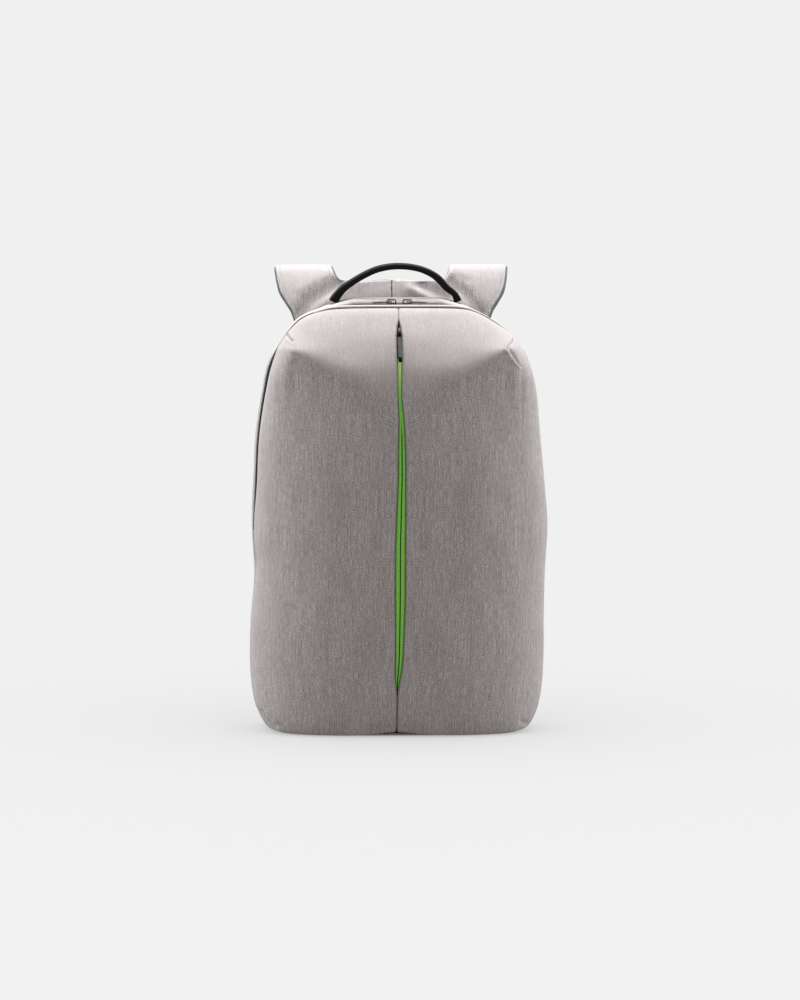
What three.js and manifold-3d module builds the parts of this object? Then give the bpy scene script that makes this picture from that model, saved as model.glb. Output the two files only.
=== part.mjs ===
// Laptop backpack: heathered cloth bag with a green zip in a long front slit, an arched main zip,
// a padded back, padded shoulder straps and a webbing handle.
// Millimetres. +Z is up, the front faces -Y, and the origin is in the middle of the flat bottom.

import * as THREE from "three";
import Module from "manifold-3d";

const wasm = await Module();
wasm.setup();
const { Manifold, Mesh: SolidMesh } = wasm;

// Driving dimensions
const CLOTH = 2;
const GAP = 0.3;
const RIM_Y = 15;
const ZIP_WIDTH = 9;
const ZIP_START_Z = 190;
const ZIP_OPEN_Z = 226;
const GUSSET_BACK_Y = 68;
const GUSSET_CROWN = 0.2;
const BACK_THICK = 11;
const BACK_INSET = 6.5;
const BASE_THICK = 2.4;
const LIP_DEPTH = 3.5;
const TAPE_WIDTH = 11;
const TAPE_THICK = 1.2;
const STRAP_SHIFT = -4;
const HANDLE_SHIFT = -2;
const HANDLE_Y = 46;
const WEBBING_WIDTH = 20;
const WEBBING_THICK = 1.6;

// Level sections of the front from the bottom up: half widths at the rim, the centre's place in Y and
// how square the section is, from 2 for an ellipse.
const SECTIONS = [
  { z: 0, left: 124, right: 121, front: -60, square: 3.2 },
  { z: 4, left: 133.5, right: 131, front: -70, square: 3.1 },
  { z: 11, left: 138.5, right: 136, front: -75.5, square: 3 },
  { z: 23, left: 144.5, right: 141, front: -79.5, square: 2.9 },
  { z: 47, left: 148.5, right: 145.5, front: -82.5, square: 2.8 },
  { z: 105, left: 149.5, right: 147.5, front: -85, square: 2.6 },
  { z: 157, left: 145.5, right: 148.5, front: -85, square: 2.6 },
  { z: 208, left: 148, right: 151.5, front: -84.5, square: 2.6 },
  { z: 250, left: 146.2, right: 148.8, front: -83, square: 2.6 },
  { z: 298, left: 143.8, right: 144.5, front: -80, square: 2.7 },
  { z: 345, left: 137.2, right: 140, front: -74, square: 3.3 },
  { z: 370, left: 132, right: 134.8, front: -65, square: 4.7 },
  { z: 388, left: 123.8, right: 126, front: -53, square: 5.2 },
  { z: 404, left: 113.5, right: 112.5, front: -38.5, square: 4.8 },
  { z: 418, left: 100, right: 92.5, front: -21, square: 4.2 },
  { z: 428, left: 75.5, right: 72, front: -5, square: 3.6 },
  { z: 436, left: 45, right: 44, front: 14.7, square: 2.6 },
];

// How far the edges at the main zip lie inside the outline: up each side, at the shoulders and at the top.
const INSETS = {
  front: { left: 2.4, right: 0.6, shoulder: 1.4, top: 6.4 },
  zipFront: { left: 3, right: 1.6, shoulder: 2, top: 5.6 },
  zipRear: { left: 1.2, right: 2.4, shoulder: 1.2, top: 5.6 },
  gusset: { left: 0.6, right: 2.8, shoulder: 0.8, top: 4.6 },
};
// How much lower the cloth behind the zip lies than the front's edge: up the right side and at the shoulders.
const GUSSET_HIDDEN = { right: 3, shoulder: 1.8 };

// Half width of the slit in the front, which closes to a seam at both ends.
const SLIT = [
  { z: 0, half: 0.15 },
  { z: 36, half: 0.15 },
  { z: 44, half: 0.3 },
  { z: 50, half: 1 },
  { z: 57, half: 2.1 },
  { z: 66, half: 3.2 },
  { z: 78, half: 4 },
  { z: 98, half: 4.5 },
  { z: 119, half: 5 },
  { z: 140, half: 5.5 },
  { z: 180, half: 5.5 },
  { z: 220, half: 5 },
  { z: 241, half: 4.5 },
  { z: 262, half: 4.1 },
  { z: 282, half: 4 },
  { z: 302, half: 3.5 },
  { z: 322, half: 2.6 },
  { z: 342, half: 2.1 },
  { z: 370, half: 2.15 },
  { z: 404, half: 2.25 },
  { z: 412, half: 1.85 },
  { z: 415, half: 1 },
  { z: 419, half: 0.3 },
  { z: 422, half: 0.15 },
  { z: 436, half: 0.15 },
];

// The slit and its seam wander to the left of the middle, and the cloth beside them follows.
const SWAY = [
  { z: 0, x: -5 },
  { z: 30, x: -5 },
  { z: 57, x: -4.5 },
  { z: 78, x: -3.1 },
  { z: 98, x: -2.6 },
  { z: 139, x: -2 },
  { z: 200, x: -1.6 },
  { z: 220, x: -1 },
  { z: 241, x: -0.6 },
  { z: 262, x: 0 },
  { z: 282, x: 0 },
  { z: 322, x: -0.5 },
  { z: 342, x: -1.8 },
  { z: 362, x: -1.8 },
  { z: 378, x: -1.4 },
  { z: 404, x: -1.2 },
  { z: 418, x: -1 },
  { z: 430, x: -0.4 },
  { z: 436, x: 0 },
];
const SWAY_REACH = 42;

// The lip that each half turns into the slit: distance from its edge and depth below the front.
const LIP = [
  { along: 0, deep: 1 },
  { along: 0.5, deep: 0.4 },
  { along: 2.2, deep: 0.09 },
  { along: 6, deep: 0 },
];
const SECTION_ANGLES = [8, 16, 24, 31, 37, 42, 46, 51, 57, 65, 74, 82, 90];

// Pointed upper corners of the front, where the sloping top facet, the front and the side meet.
const BROW = { left: -110, right: 105, z: 388, push: 5, reachX: 16, reachZ: 12 };
// The crest that sags from each pointed corner to the centre: its height and its strength.
const CREST = [
  { x: 0, z: 354, strength: 0 },
  { x: 20, z: 358, strength: 0 },
  { x: 42, z: 368, strength: 0.45 },
  { x: 68, z: 377, strength: 0.85 },
  { x: 90, z: 383, strength: 1 },
  { x: 110, z: 387, strength: 0.85 },
  { x: 126, z: 388, strength: 0.1 },
  { x: 160, z: 388, strength: 0 },
];
// How far the cloth stands out at a height above or below the crest.
const CREST_SECTION = [
  { above: -60, out: 0 },
  { above: -44, out: 0.3 },
  { above: -28, out: 1.4 },
  { above: -12, out: 4.2 },
  { above: -4, out: 6.2 },
  { above: 0, out: 6.8 },
  { above: 5, out: 5.8 },
  { above: 12, out: 3.1 },
  { above: 20, out: 0.6 },
  { above: 26, out: 0 },
];
// The bottom edge is drawn up beside the centre seam.
const TUCK = { lift: 3.5, reachX: 26, reachZ: 26 };

// Padded strap with its half of the yoke, from the seam on the back over the fold and down behind.
const STRAP = [
  { inX: 0.15, inY: 82.9, inZ: 392, outX: 92, outY: 82.9, outZ: 384, thick: 6.4 },
  { inX: 0.15, inY: 84.2, inZ: 420, outX: 97, outY: 83, outZ: 400, thick: 6.8 },
  { inX: 0.15, inY: 98, inZ: 449, outX: 100.5, outY: 83.6, outZ: 412, thick: 7 },
  { inX: 27, inY: 98, inZ: 449, outX: 103.5, outY: 84.5, outZ: 420, thick: 8 },
  { inX: 50, inY: 98.6, inZ: 449.6, outX: 108.5, outY: 87.5, outZ: 428, thick: 9 },
  { inX: 55, inY: 101, inZ: 452.5, outX: 114.5, outY: 93, outZ: 438, thick: 10 },
  { inX: 57.5, inY: 104.5, inZ: 457, outX: 117.5, outY: 100.5, outZ: 449.4, thick: 10 },
  { inX: 59, inY: 109, inZ: 459.6, outX: 118.5, outY: 107, outZ: 456.8, thick: 10 },
  { inX: 59.5, inY: 114.5, inZ: 460.4, outX: 119, outY: 114.5, outZ: 460.2, thick: 10 },
  { inX: 59.5, inY: 120.5, inZ: 456.6, outX: 118, outY: 120.5, outZ: 455.6, thick: 10 },
  { inX: 58.5, inY: 124.5, inZ: 446, outX: 115, outY: 124.5, outZ: 444, thick: 10 },
  { inX: 52, inY: 125.5, inZ: 420, outX: 99, outY: 125.5, outZ: 417, thick: 10 },
  { inX: 50.5, inY: 124.5, inZ: 370, outX: 98.5, outY: 124.5, outZ: 367, thick: 10 },
  { inX: 58, inY: 121.5, inZ: 315, outX: 104, outY: 121.5, outZ: 313, thick: 10 },
  { inX: 68, inY: 117, inZ: 262, outX: 110, outY: 117, outZ: 261, thick: 9.5 },
  { inX: 78, inY: 111.8, inZ: 212, outX: 114.5, outY: 111.8, outZ: 212, thick: 9 },
  { inX: 85, inY: 107, inZ: 182, outX: 115.5, outY: 107, outZ: 182, thick: 7 },
  { inX: 88, inY: 105, inZ: 168.6, outX: 114, outY: 105, outZ: 168.6, thick: 4.4 },
];

// Half of the handle from its foot to the middle: thickness in the plane of the arch and width across.
const HANDLE = [
  { x: -63, z: 433, thick: 9.4, wide: 20 },
  { x: -59, z: 439, thick: 8.4, wide: 20 },
  { x: -53.4, z: 445.4, thick: 7.4, wide: 20 },
  { x: -44, z: 452.2, thick: 6.6, wide: 20 },
  { x: -33, z: 458.8, thick: 6.4, wide: 20 },
  { x: -18, z: 465.4, thick: 6.2, wide: 20 },
  { x: 2, z: 468.4, thick: 6, wide: 20 },
  { x: 23, z: 466, thick: 6.2, wide: 20 },
  { x: 36.5, z: 460.6, thick: 7, wide: 20 },
  { x: 44.5, z: 454.6, thick: 7.6, wide: 20 },
  { x: 51.5, z: 446.8, thick: 7.8, wide: 20 },
  { x: 60.2, z: 439.7, thick: 8, wide: 20 },
  { x: 63.5, z: 433, thick: 9, wide: 20 },
];

// Cloth band behind the main zip, from the zip to the back: share of its width and inset.
const GUSSET = [
  { share: 0, inset: 0 },
  { share: 0.24, inset: -GUSSET_CROWN },
  { share: 0.65, inset: -GUSSET_CROWN / 2 },
  { share: 0.88, inset: 2 },
  { share: 1, inset: 6 },
];

const WELT = { fromX: -86, toX: 82, y: 9.6, wide: 5.6, high: 3 };
const ADJUSTER = { x: 101, y: 105, top: 168.3, width: 29, height: 28, bar: 3.6, depth: 3 };
const WEBBING_FOOT = { x: 117, low: 22, high: 44 };

const MAIN_SLIDER = { length: 10.4, width: 7.6, height: 2.4, eye: 7.2, bridge: 1.2, bridgeWidth: 2.4 };
const MAIN_PULL = { length: 20, width: 5.8, window: 3.4, reach: 6.8, bar: 1.2, tilt: 3 };
const MAIN_SLIDER_X = { left: -7, right: 9 };
const FRONT_SLIDER = { length: 9, width: 3.2, height: 4.4, eye: 6, bridge: 1.2, bridgeWidth: 2 };
const FRONT_PULL = { length: 45, width: 4.3, window: 3, reach: 6.2, bar: 1.2, tilt: 4.5 };
const FRONT_SLIDER_Z = 407;
const PIN_RISE = 1.25;

const COLOURS = {
  cloth: 0x9a9492,
  green: 0x639b45,
  zip: 0x1c1b1c,
  metal: 0x3b3a3c,
  tab: 0x4a4749,
  webbing: 0x252325,
  mesh: 0x2a292b,
};

// Smooth curves through the rows of a table, by distance along two of its columns.
function tableCurve(rows, columnA, columnB) {
  const names = Object.keys(rows[0]);
  const places = [0];
  rows.slice(1).forEach((row, i) => {
    const step = Math.hypot(row[columnA] - rows[i][columnA], row[columnB] - rows[i][columnB]);
    places.push(places[i] + step);
  });
  const values = rows.flatMap((row) => names.map((name) => row[name]));
  const spline = new THREE.CubicInterpolant(places, values, names.length);
  const at = (place) => {
    const found = spline.evaluate(place);
    return Object.fromEntries(names.map((name, i) => [name, found[i]]));
  };
  return { at, places, end: places[places.length - 1] };
}

// Places along a table's curve, with so many steps between neighbouring rows.
function stepsBetween(places, steps) {
  const out = [places[0]];
  for (let i = 1; i < places.length; i++) {
    for (let k = 1; k <= steps; k++) {
      out.push(THREE.MathUtils.lerp(places[i - 1], places[i], k / steps));
    }
  }
  return out;
}

// Straight lines between the rows of a table.
function lineTable(rows, key, column) {
  return (value) => {
    const found = rows.findIndex((row) => row[key] >= value);
    const i = found < 0 ? rows.length - 1 : Math.max(1, found);
    const share = (value - rows[i - 1][key]) / (rows[i][key] - rows[i - 1][key]);
    return THREE.MathUtils.lerp(rows[i - 1][column], rows[i][column], THREE.MathUtils.clamp(share, 0, 1));
  };
}

// A closed geometry from points and triangles, turned to face outward.
function closedGeometry(points, triangles) {
  let volume = 0;
  const cross = new THREE.Vector3();
  for (const [a, b, c] of triangles) {
    volume += points[a].dot(cross.crossVectors(points[b], points[c]));
  }
  const faces = volume < 0 ? triangles.map(([a, b, c]) => [a, c, b]) : triangles;
  const geometry = new THREE.BufferGeometry().setFromPoints(points);
  geometry.setIndex(faces.flat());
  return geometry;
}

// The two triangles of a quad, split along its shorter diagonal.
function quad(points, a, b, c, d) {
  if (points[a].distanceTo(points[c]) <= points[b].distanceTo(points[d])) {
    return [[a, b, c], [a, c, d]];
  }
  return [[a, b, d], [b, c, d]];
}

// A wall between two grids of the same size, closed round its border.
function wallBetween(outer, inner) {
  const rows = outer.length;
  const columns = outer[0].length;
  const points = [...outer.flat(), ...inner.flat()];
  const far = rows * columns;
  const at = (i, j) => i * columns + j;
  const triangles = [];
  for (let i = 0; i + 1 < rows; i++) {
    for (let j = 0; j + 1 < columns; j++) {
      const corners = [at(i, j), at(i + 1, j), at(i + 1, j + 1), at(i, j + 1)];
      triangles.push(...quad(points, ...corners));
      const back = corners.map((corner) => corner + far).reverse();
      triangles.push(...quad(points, ...back));
    }
  }
  const border = [];
  for (let i = 0; i < rows; i++) border.push(at(i, 0));
  for (let j = 1; j < columns; j++) border.push(at(rows - 1, j));
  for (let i = rows - 2; i >= 0; i--) border.push(at(i, columns - 1));
  for (let j = columns - 2; j > 0; j--) border.push(at(0, j));
  border.forEach((p, k) => {
    const q = border[(k + 1) % border.length];
    triangles.push(...quad(points, q, p, p + far, q + far));
  });
  return closedGeometry(points, triangles);
}

// Unit normals of a grid of points.
function gridNormals(grid) {
  const last = (list) => list.length - 1;
  return grid.map((row, i) =>
    row.map((_, j) => {
      const along = new THREE.Vector3().subVectors(
        grid[Math.min(i + 1, last(grid))][j],
        grid[Math.max(i - 1, 0)][j],
      );
      const across = new THREE.Vector3().subVectors(
        row[Math.min(j + 1, last(row))],
        row[Math.max(j - 1, 0)],
      );
      return along.cross(across).normalize();
    }),
  );
}

// A grid moved along its normals by a distance that may depend on row and column.
function offsetGrid(grid, distance) {
  const normals = gridNormals(grid);
  return grid.map((row, i) =>
    row.map((point, j) => point.clone().addScaledVector(normals[i][j], distance(i, j))),
  );
}

// A solid through closed convex loops of equal length, with flat ends.
function solidThrough(loops) {
  const size = loops[0].length;
  const points = loops.flat();
  const triangles = [];
  for (let i = 0; i + 1 < loops.length; i++) {
    for (let j = 0; j < size; j++) {
      const next = (j + 1) % size;
      const corners = [i * size + j, i * size + next, (i + 1) * size + next, (i + 1) * size + j];
      triangles.push(...quad(points, ...corners));
    }
  }
  const top = (loops.length - 1) * size;
  for (let j = 1; j + 1 < size; j++) {
    triangles.push([0, j + 1, j]);
    triangles.push([top, top + j, top + j + 1]);
  }
  return closedGeometry(points, triangles);
}

// A loop round a centre in the plane of two directions, from pairs of local coordinates.
function loopAt(centre, u, v, pairs) {
  return pairs.map(([a, b]) => centre.clone().addScaledVector(u, a).addScaledVector(v, b));
}

// A flat rectangle with cut corners, as pairs of local coordinates.
function cutRectangle(width, height, cut) {
  const w = width / 2;
  const h = height / 2;
  return [
    [w - cut, -h], [w, cut - h], [w, h - cut], [w - cut, h],
    [cut - w, h], [-w, h - cut], [-w, cut - h], [cut - w, -h],
  ];
}

function toSolid(geometry) {
  const merged = new Map();
  const position = geometry.getAttribute("position");
  const order = geometry.index ? Array.from(geometry.index.array) : [...Array(position.count).keys()];
  const vertices = [];
  const triangles = order.map((k) => {
    const p = [position.getX(k), position.getY(k), position.getZ(k)];
    const key = p.map((value) => Math.round(value * 1e4)).join(",");
    if (!merged.has(key)) {
      merged.set(key, vertices.length / 3);
      vertices.push(...p);
    }
    return merged.get(key);
  });
  return Manifold.ofMesh(
    new SolidMesh({
      numProp: 3,
      vertProperties: new Float32Array(vertices),
      triVerts: new Uint32Array(triangles),
    }),
  );
}

function fromSolid(solid) {
  const mesh = solid.getMesh();
  const geometry = new THREE.BufferGeometry();
  geometry.setAttribute("position", new THREE.BufferAttribute(Float32Array.from(mesh.vertProperties), 3));
  geometry.setIndex(new THREE.BufferAttribute(Uint32Array.from(mesh.triVerts), 1));
  return geometry;
}

// Front

const sideName = (side) => (side < 0 ? "left" : "right");
const outline = tableCurve(SECTIONS, "left", "z");

function insetAt(edge, z, side) {
  const { smoothstep, lerp } = THREE.MathUtils;
  const beside = edge[sideName(side)] * smoothstep(z, ZIP_START_Z, ZIP_OPEN_Z);
  return lerp(lerp(beside, edge.shoulder, smoothstep(z, 340, 392)), edge.top, smoothstep(z, 426.5, 436));
}

function hiddenAt({ x, z }) {
  const { smoothstep } = THREE.MathUtils;
  const beside = x > 0 ? smoothstep(z, ZIP_START_Z, ZIP_OPEN_Z) * (1 - smoothstep(z, 350, 400)) : 0;
  const shoulder = smoothstep(z, 375, 400) * (1 - smoothstep(z, 424, 435));
  return GUSSET_HIDDEN.right * beside + GUSSET_HIDDEN.shoulder * shoulder;
}

// The front's own sections: those of the outline, drawn in square to it beside and over the main zip.
const frontSections = SECTIONS.map((row, i) => {
  const before = SECTIONS[Math.max(0, i - 1)];
  const after = SECTIONS[Math.min(SECTIONS.length - 1, i + 1)];
  const level = i + 1 === SECTIONS.length;
  const slope = level ? Math.PI / 2 : Math.atan2(before.left - after.left, after.z - before.z);
  const left = insetAt(INSETS.front, row.z, -1);
  const right = insetAt(INSETS.front, row.z, 1);
  return {
    ...row,
    z: row.z - ((left + right) / 2) * Math.sin(slope),
    left: row.left - left * Math.cos(slope),
    right: row.right - right * Math.cos(slope),
  };
});

const front = tableCurve(frontSections, "left", "z");
const slitHalf = lineTable(SLIT, "z", "half");
const swayAt = lineTable(SWAY, "z", "x");
const crestHeight = lineTable(CREST, "x", "z");
const crestStrength = lineTable(CREST, "x", "strength");
const crestOut = lineTable(CREST_SECTION, "above", "out");

function placeAtHeight(z) {
  let low = 0;
  let high = front.end;
  for (let k = 0; k < 40; k++) {
    const middle = (low + high) / 2;
    if (front.at(middle).z < z) low = middle;
    else high = middle;
  }
  return (low + high) / 2;
}

// Outward direction of the front's centre line, in the YZ plane.
function centreNormal(place) {
  const step = 0.5;
  const before = front.at(Math.max(0, place - step));
  const after = front.at(Math.min(front.end, place + step));
  return new THREE.Vector3(0, before.z - after.z, after.front - before.front).normalize();
}

// Y of the front at a distance from the centre, on one level section.
function frontY(section, half, x) {
  const share = Math.pow(Math.min(1, Math.abs(x) / half), section.square);
  return RIM_Y - (RIM_Y - section.front) * Math.pow(1 - share, 1 / section.square);
}

function sway(point) {
  point.x += swayAt(point.z) * Math.exp(-((point.x / SWAY_REACH) ** 2));
  return point;
}

function dressFront(point, side) {
  const brow = (Math.abs(point.x - BROW[sideName(side)]) / BROW.reachX) ** 1.5;
  const peak = BROW.push * Math.exp(-brow - (Math.abs(point.z - BROW.z) / BROW.reachZ) ** 1.5);
  const width = Math.abs(point.x);
  const crest = crestStrength(width) * crestOut(point.z - crestHeight(width));
  point.add(new THREE.Vector3(0.45 * side, -0.75, 0.45).multiplyScalar(peak));
  point.add(new THREE.Vector3(0, -0.95, 0.3).multiplyScalar(crest));
  const tuck = Math.max(0, 1 - point.z / TUCK.reachZ) * Math.exp(-((point.x / TUCK.reachX) ** 2));
  point.z += TUCK.lift * tuck;
  return sway(point);
}

function frontGrid(side) {
  return stepsBetween(front.places, 2).map((place) => {
    const section = front.at(place);
    const half = section[sideName(side)];
    const inward = centreNormal(place).negate();
    const narrow = Math.min(1, half / 60);
    const slit = slitHalf(section.z);
    const depth = LIP_DEPTH * (1 - THREE.MathUtils.smoothstep(section.z, 420, 434));
    const lip = LIP.map(({ along, deep }) => {
      const x = slit + along * narrow;
      const point = new THREE.Vector3(side * x, frontY(section, half, x), section.z);
      return dressFront(point, side).addScaledVector(inward, deep * depth);
    });
    const rest = SECTION_ANGLES.map((degrees) => {
      const angle = THREE.MathUtils.degToRad(degrees);
      const sine = Math.sin(angle);
      const cosine = Math.max(0, Math.cos(angle));
      const reach = (sine ** section.square + cosine ** section.square) ** (-1 / section.square);
      const x = half * reach * sine;
      const y = RIM_Y - (RIM_Y - section.front) * reach * cosine;
      return dressFront(new THREE.Vector3(side * x, y, section.z), side);
    });
    return [...lip, ...rest];
  });
}

function frontPanel(side) {
  const outer = frontGrid(side);
  return wallBetween(outer, offsetGrid(outer, () => CLOTH * side));
}

// Height of the sloping top facet over a point, with its outward direction.
function facetAt(x, y) {
  const side = x < 0 ? "left" : "right";
  const outside = (px, py, place) => {
    const section = front.at(place);
    const wide = (Math.abs(px) / section[side]) ** section.square;
    return wide + ((RIM_Y - py) / (RIM_Y - section.front)) ** section.square - 1;
  };
  const height = (px, py) => {
    let low = placeAtHeight(380);
    let high = front.end;
    for (let k = 0; k < 40; k++) {
      const middle = (low + high) / 2;
      if (outside(px, py, middle) < 0) low = middle;
      else high = middle;
    }
    return front.at(low).z;
  };
  const step = 0.5;
  const slopeX = (height(x + step, y) - height(x - step, y)) / (2 * step);
  const slopeY = (height(x, y + step) - height(x, y - step)) / (2 * step);
  return {
    point: new THREE.Vector3(x, y, height(x, y)),
    normal: new THREE.Vector3(-slopeX, -slopeY, 1).normalize(),
  };
}

function topWelt() {
  const stations = 24;
  const spots = Array.from({ length: stations + 1 }, (_, k) => {
    const share = k / stations;
    const taper = Math.sqrt(Math.min(1, 0.12 + 5 * Math.min(share, 1 - share)));
    return { taper, ...facetAt(THREE.MathUtils.lerp(WELT.fromX, WELT.toX, share), WELT.y) };
  });
  const loops = spots.map(({ point, normal, taper }, k) => {
    const before = spots[Math.max(0, k - 1)].point;
    const after = spots[Math.min(stations, k + 1)].point;
    const along = new THREE.Vector3().subVectors(after, before).normalize();
    const across = new THREE.Vector3().crossVectors(normal, along).normalize();
    const centre = point.clone().addScaledVector(normal, 2 * GAP + (taper * WELT.high) / 2);
    const pairs = Array.from({ length: 8 }, (_, j) => {
      const angle = (j / 8) * 2 * Math.PI;
      return [(Math.cos(angle) * taper * WELT.wide) / 2, (Math.sin(angle) * taper * WELT.high) / 2];
    });
    return loopAt(centre, across, normal, pairs);
  });
  return solidThrough(loops);
}

// Green zip behind the slit

const TAPE_DEPTH = LIP_DEPTH + 1.2;

function frontTape(side) {
  const from = placeAtHeight(30);
  const to = placeAtHeight(424);
  const rows = 28;
  const grid = Array.from({ length: rows + 1 }, (_, k) => {
    const place = THREE.MathUtils.lerp(from, to, k / rows);
    const section = front.at(place);
    const inward = centreNormal(place).negate();
    return [GAP / 2, TAPE_WIDTH / 2, TAPE_WIDTH].map((x) => {
      const y = frontY(section, section[sideName(side)], x);
      const point = new THREE.Vector3(side * x, y, section.z);
      return sway(point).addScaledVector(inward, TAPE_DEPTH);
    });
  });
  return wallBetween(grid, offsetGrid(grid, () => TAPE_THICK * side));
}

// Outline of the bag at the main zip, from the left foot over the top to the right foot

const ARCH_TOP_STEPS = 5;

function archOutline() {
  const places = stepsBetween(outline.places, 2);
  const rise = places.map((place) => {
    const section = outline.at(place);
    return { x: -section.left, z: section.z };
  });
  const fall = places.map((place) => {
    const section = outline.at(place);
    return { x: section.right, z: section.z };
  });
  const top = [];
  const left = rise[rise.length - 1];
  const right = fall[fall.length - 1];
  for (let k = 1; k < ARCH_TOP_STEPS; k++) {
    top.push({ x: THREE.MathUtils.lerp(left.x, right.x, k / ARCH_TOP_STEPS), z: left.z });
  }
  return [...rise, ...top, ...fall.reverse()];
}

const arch = archOutline().map((spot, k, all) => {
  const before = all[Math.max(0, k - 1)];
  const after = all[Math.min(all.length - 1, k + 1)];
  const length = Math.hypot(after.x - before.x, after.z - before.z);
  return { ...spot, outX: -(after.z - before.z) / length, outZ: (after.x - before.x) / length };
});

function archPoint({ x, z, outX, outZ }, inset, y) {
  return new THREE.Vector3(x - outX * inset, y, Math.max(0, z - outZ * inset));
}

// Where the cloth behind the zip begins: it closes on the front below the ends of the zip.
function gussetEdge(z) {
  return RIM_Y + GAP + ZIP_WIDTH * THREE.MathUtils.smoothstep(z, ZIP_START_Z, ZIP_OPEN_Z);
}

function rearGusset() {
  const grid = arch.map((spot) =>
    GUSSET.map(({ share, inset }, k) => {
      const drawnIn = k === 0 ? insetAt(INSETS.gusset, spot.z, spot.x) : inset + hiddenAt(spot);
      return archPoint(spot, drawnIn, THREE.MathUtils.lerp(gussetEdge(spot.z), GUSSET_BACK_Y, share));
    }),
  );
  return wallBetween(grid, offsetGrid(grid, () => -CLOTH));
}

function mainZipTape() {
  const zip = arch.filter((spot) => spot.z > ZIP_START_Z + 12);
  const grid = zip.map((spot) => {
    const from = RIM_Y + 2 * GAP;
    const to = gussetEdge(spot.z) - GAP;
    const near = insetAt(INSETS.zipFront, spot.z, spot.x);
    const far = insetAt(INSETS.zipRear, spot.z, spot.x);
    return [0, 0.5, 1].map((share) =>
      archPoint(spot, THREE.MathUtils.lerp(near, far, share), THREE.MathUtils.lerp(from, to, share)),
    );
  });
  return wallBetween(grid, offsetGrid(grid, () => -1.4));
}

// Bottom and back

function basePanel() {
  const section = front.at(0);
  const inset = 1.3;
  const shape = new THREE.Shape();
  const around = 20;
  for (let k = -around; k <= around; k++) {
    const half = section[sideName(k)] - inset;
    const angle = ((Math.abs(k) / around) * Math.PI) / 2;
    const sine = Math.sin(angle);
    const cosine = Math.max(0, Math.cos(angle));
    const reach = (sine ** section.square + cosine ** section.square) ** (-1 / section.square);
    const y = RIM_Y - (RIM_Y - section.front - inset) * reach * cosine;
    if (k === -around) shape.moveTo(-half * reach * sine, y);
    else shape.lineTo(Math.sign(k) * half * reach * sine, y);
  }
  const rear = GUSSET.slice(1).map((column) => ({
    in: Math.max(0, column.inset) + inset + GAP,
    y: THREE.MathUtils.lerp(RIM_Y, GUSSET_BACK_Y, column.share),
  }));
  rear.forEach((spot) => shape.lineTo(section.right - spot.in, spot.y));
  rear.reverse().forEach((spot) => shape.lineTo(spot.in - section.left, spot.y));
  return new THREE.ExtrudeGeometry(shape, { depth: BASE_THICK, bevelEnabled: false, curveSegments: 4 });
}

function backPanel() {
  const bevel = 4;
  const outline = arch.filter((_, k) => k % 2 === 0).map((spot) => {
    const point = archPoint(spot, BACK_INSET + bevel, 0);
    const foot = 1 - THREE.MathUtils.smoothstep(spot.z, 10, 60);
    return new THREE.Vector2(point.x, THREE.MathUtils.lerp(point.z, spot.z + bevel, foot));
  });
  const geometry = new THREE.ExtrudeGeometry(new THREE.Shape(outline), {
    depth: BACK_THICK - bevel,
    bevelThickness: bevel / 2,
    bevelSize: bevel,
    bevelSegments: 2,
  });
  geometry.rotateX(Math.PI / 2);
  geometry.translate(0, GUSSET_BACK_Y + GAP + BACK_THICK - bevel / 2, 0);
  return geometry;
}

// Straps

const strapCurve = tableCurve(
  STRAP.map((row) => ({ ...row, path: 0 })).map((row, i, all) => {
    const before = all[Math.max(0, i - 1)];
    row.path = i === 0 ? 0 : before.path + Math.max(6, Math.hypot(
      (row.outX + row.inX - before.outX - before.inX) / 2,
      (row.outY + row.inY - before.outY - before.inY) / 2,
      (row.outZ + row.inZ - before.outZ - before.inZ) / 2,
    ));
    return row;
  }),
  "path",
  "path",
);

function shoulderStrap(side) {
  const shares = [0, 0.06, 0.2, 0.4, 0.6, 0.8, 0.94, 1];
  const places = stepsBetween(strapCurve.places, 2);
  const rows = places.map((place) => strapCurve.at(place));
  const grid = rows.map((row) =>
    shares.map((share) =>
      new THREE.Vector3(
        STRAP_SHIFT + side * Math.max(GAP / 2, THREE.MathUtils.lerp(row.inX, row.outX, share)),
        THREE.MathUtils.lerp(row.inY, row.outY, share),
        THREE.MathUtils.lerp(row.inZ, row.outZ, share),
      ),
    ),
  );
  const edge = (share) => Math.sqrt(Math.max(0.1, 1 - Math.abs(2 * share - 1) ** 8));
  const half = (sign) => (i, j) => sign * (rows[i].thick / 2) * edge(shares[j]);
  return wallBetween(offsetGrid(grid, half(1)), offsetGrid(grid, half(-1)));
}

// Sets the end of the handle on the cloth under it, square to that cloth.
function seatFoot(centre, along) {
  const next = arch.findIndex((spot) => spot.x > centre.x);
  const [from, to] = [arch[next - 1], arch[next]];
  const slope = (to.z - from.z) / (to.x - from.x);
  const rise = Math.sign(along.z);
  along.set(-slope, 0, 1).normalize();
  centre.z = from.z + slope * (centre.x - from.x) + GUSSET_CROWN + 2 * GAP;
  along.multiplyScalar(rise);
}

function carryHandle() {
  const curve = tableCurve(HANDLE, "x", "z");
  const rows = stepsBetween(curve.places, 2).map((place) => curve.at(place));
  const loops = rows.map((row, k) => {
    const before = rows[Math.max(0, k - 1)];
    const after = rows[Math.min(rows.length - 1, k + 1)];
    const centre = new THREE.Vector3(HANDLE_SHIFT + row.x, HANDLE_Y, row.z);
    const along = new THREE.Vector3(after.x - before.x, 0, after.z - before.z).normalize();
    if (k === 0 || k === rows.length - 1) seatFoot(centre, along);
    const outward = new THREE.Vector3(-along.z, 0, along.x);
    return loopAt(centre, outward, new THREE.Vector3(0, 1, 0), cutRectangle(row.thick, row.wide, 1.6));
  });
  return solidThrough(loops);
}

// Adjusters and webbing at the feet of the straps

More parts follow.
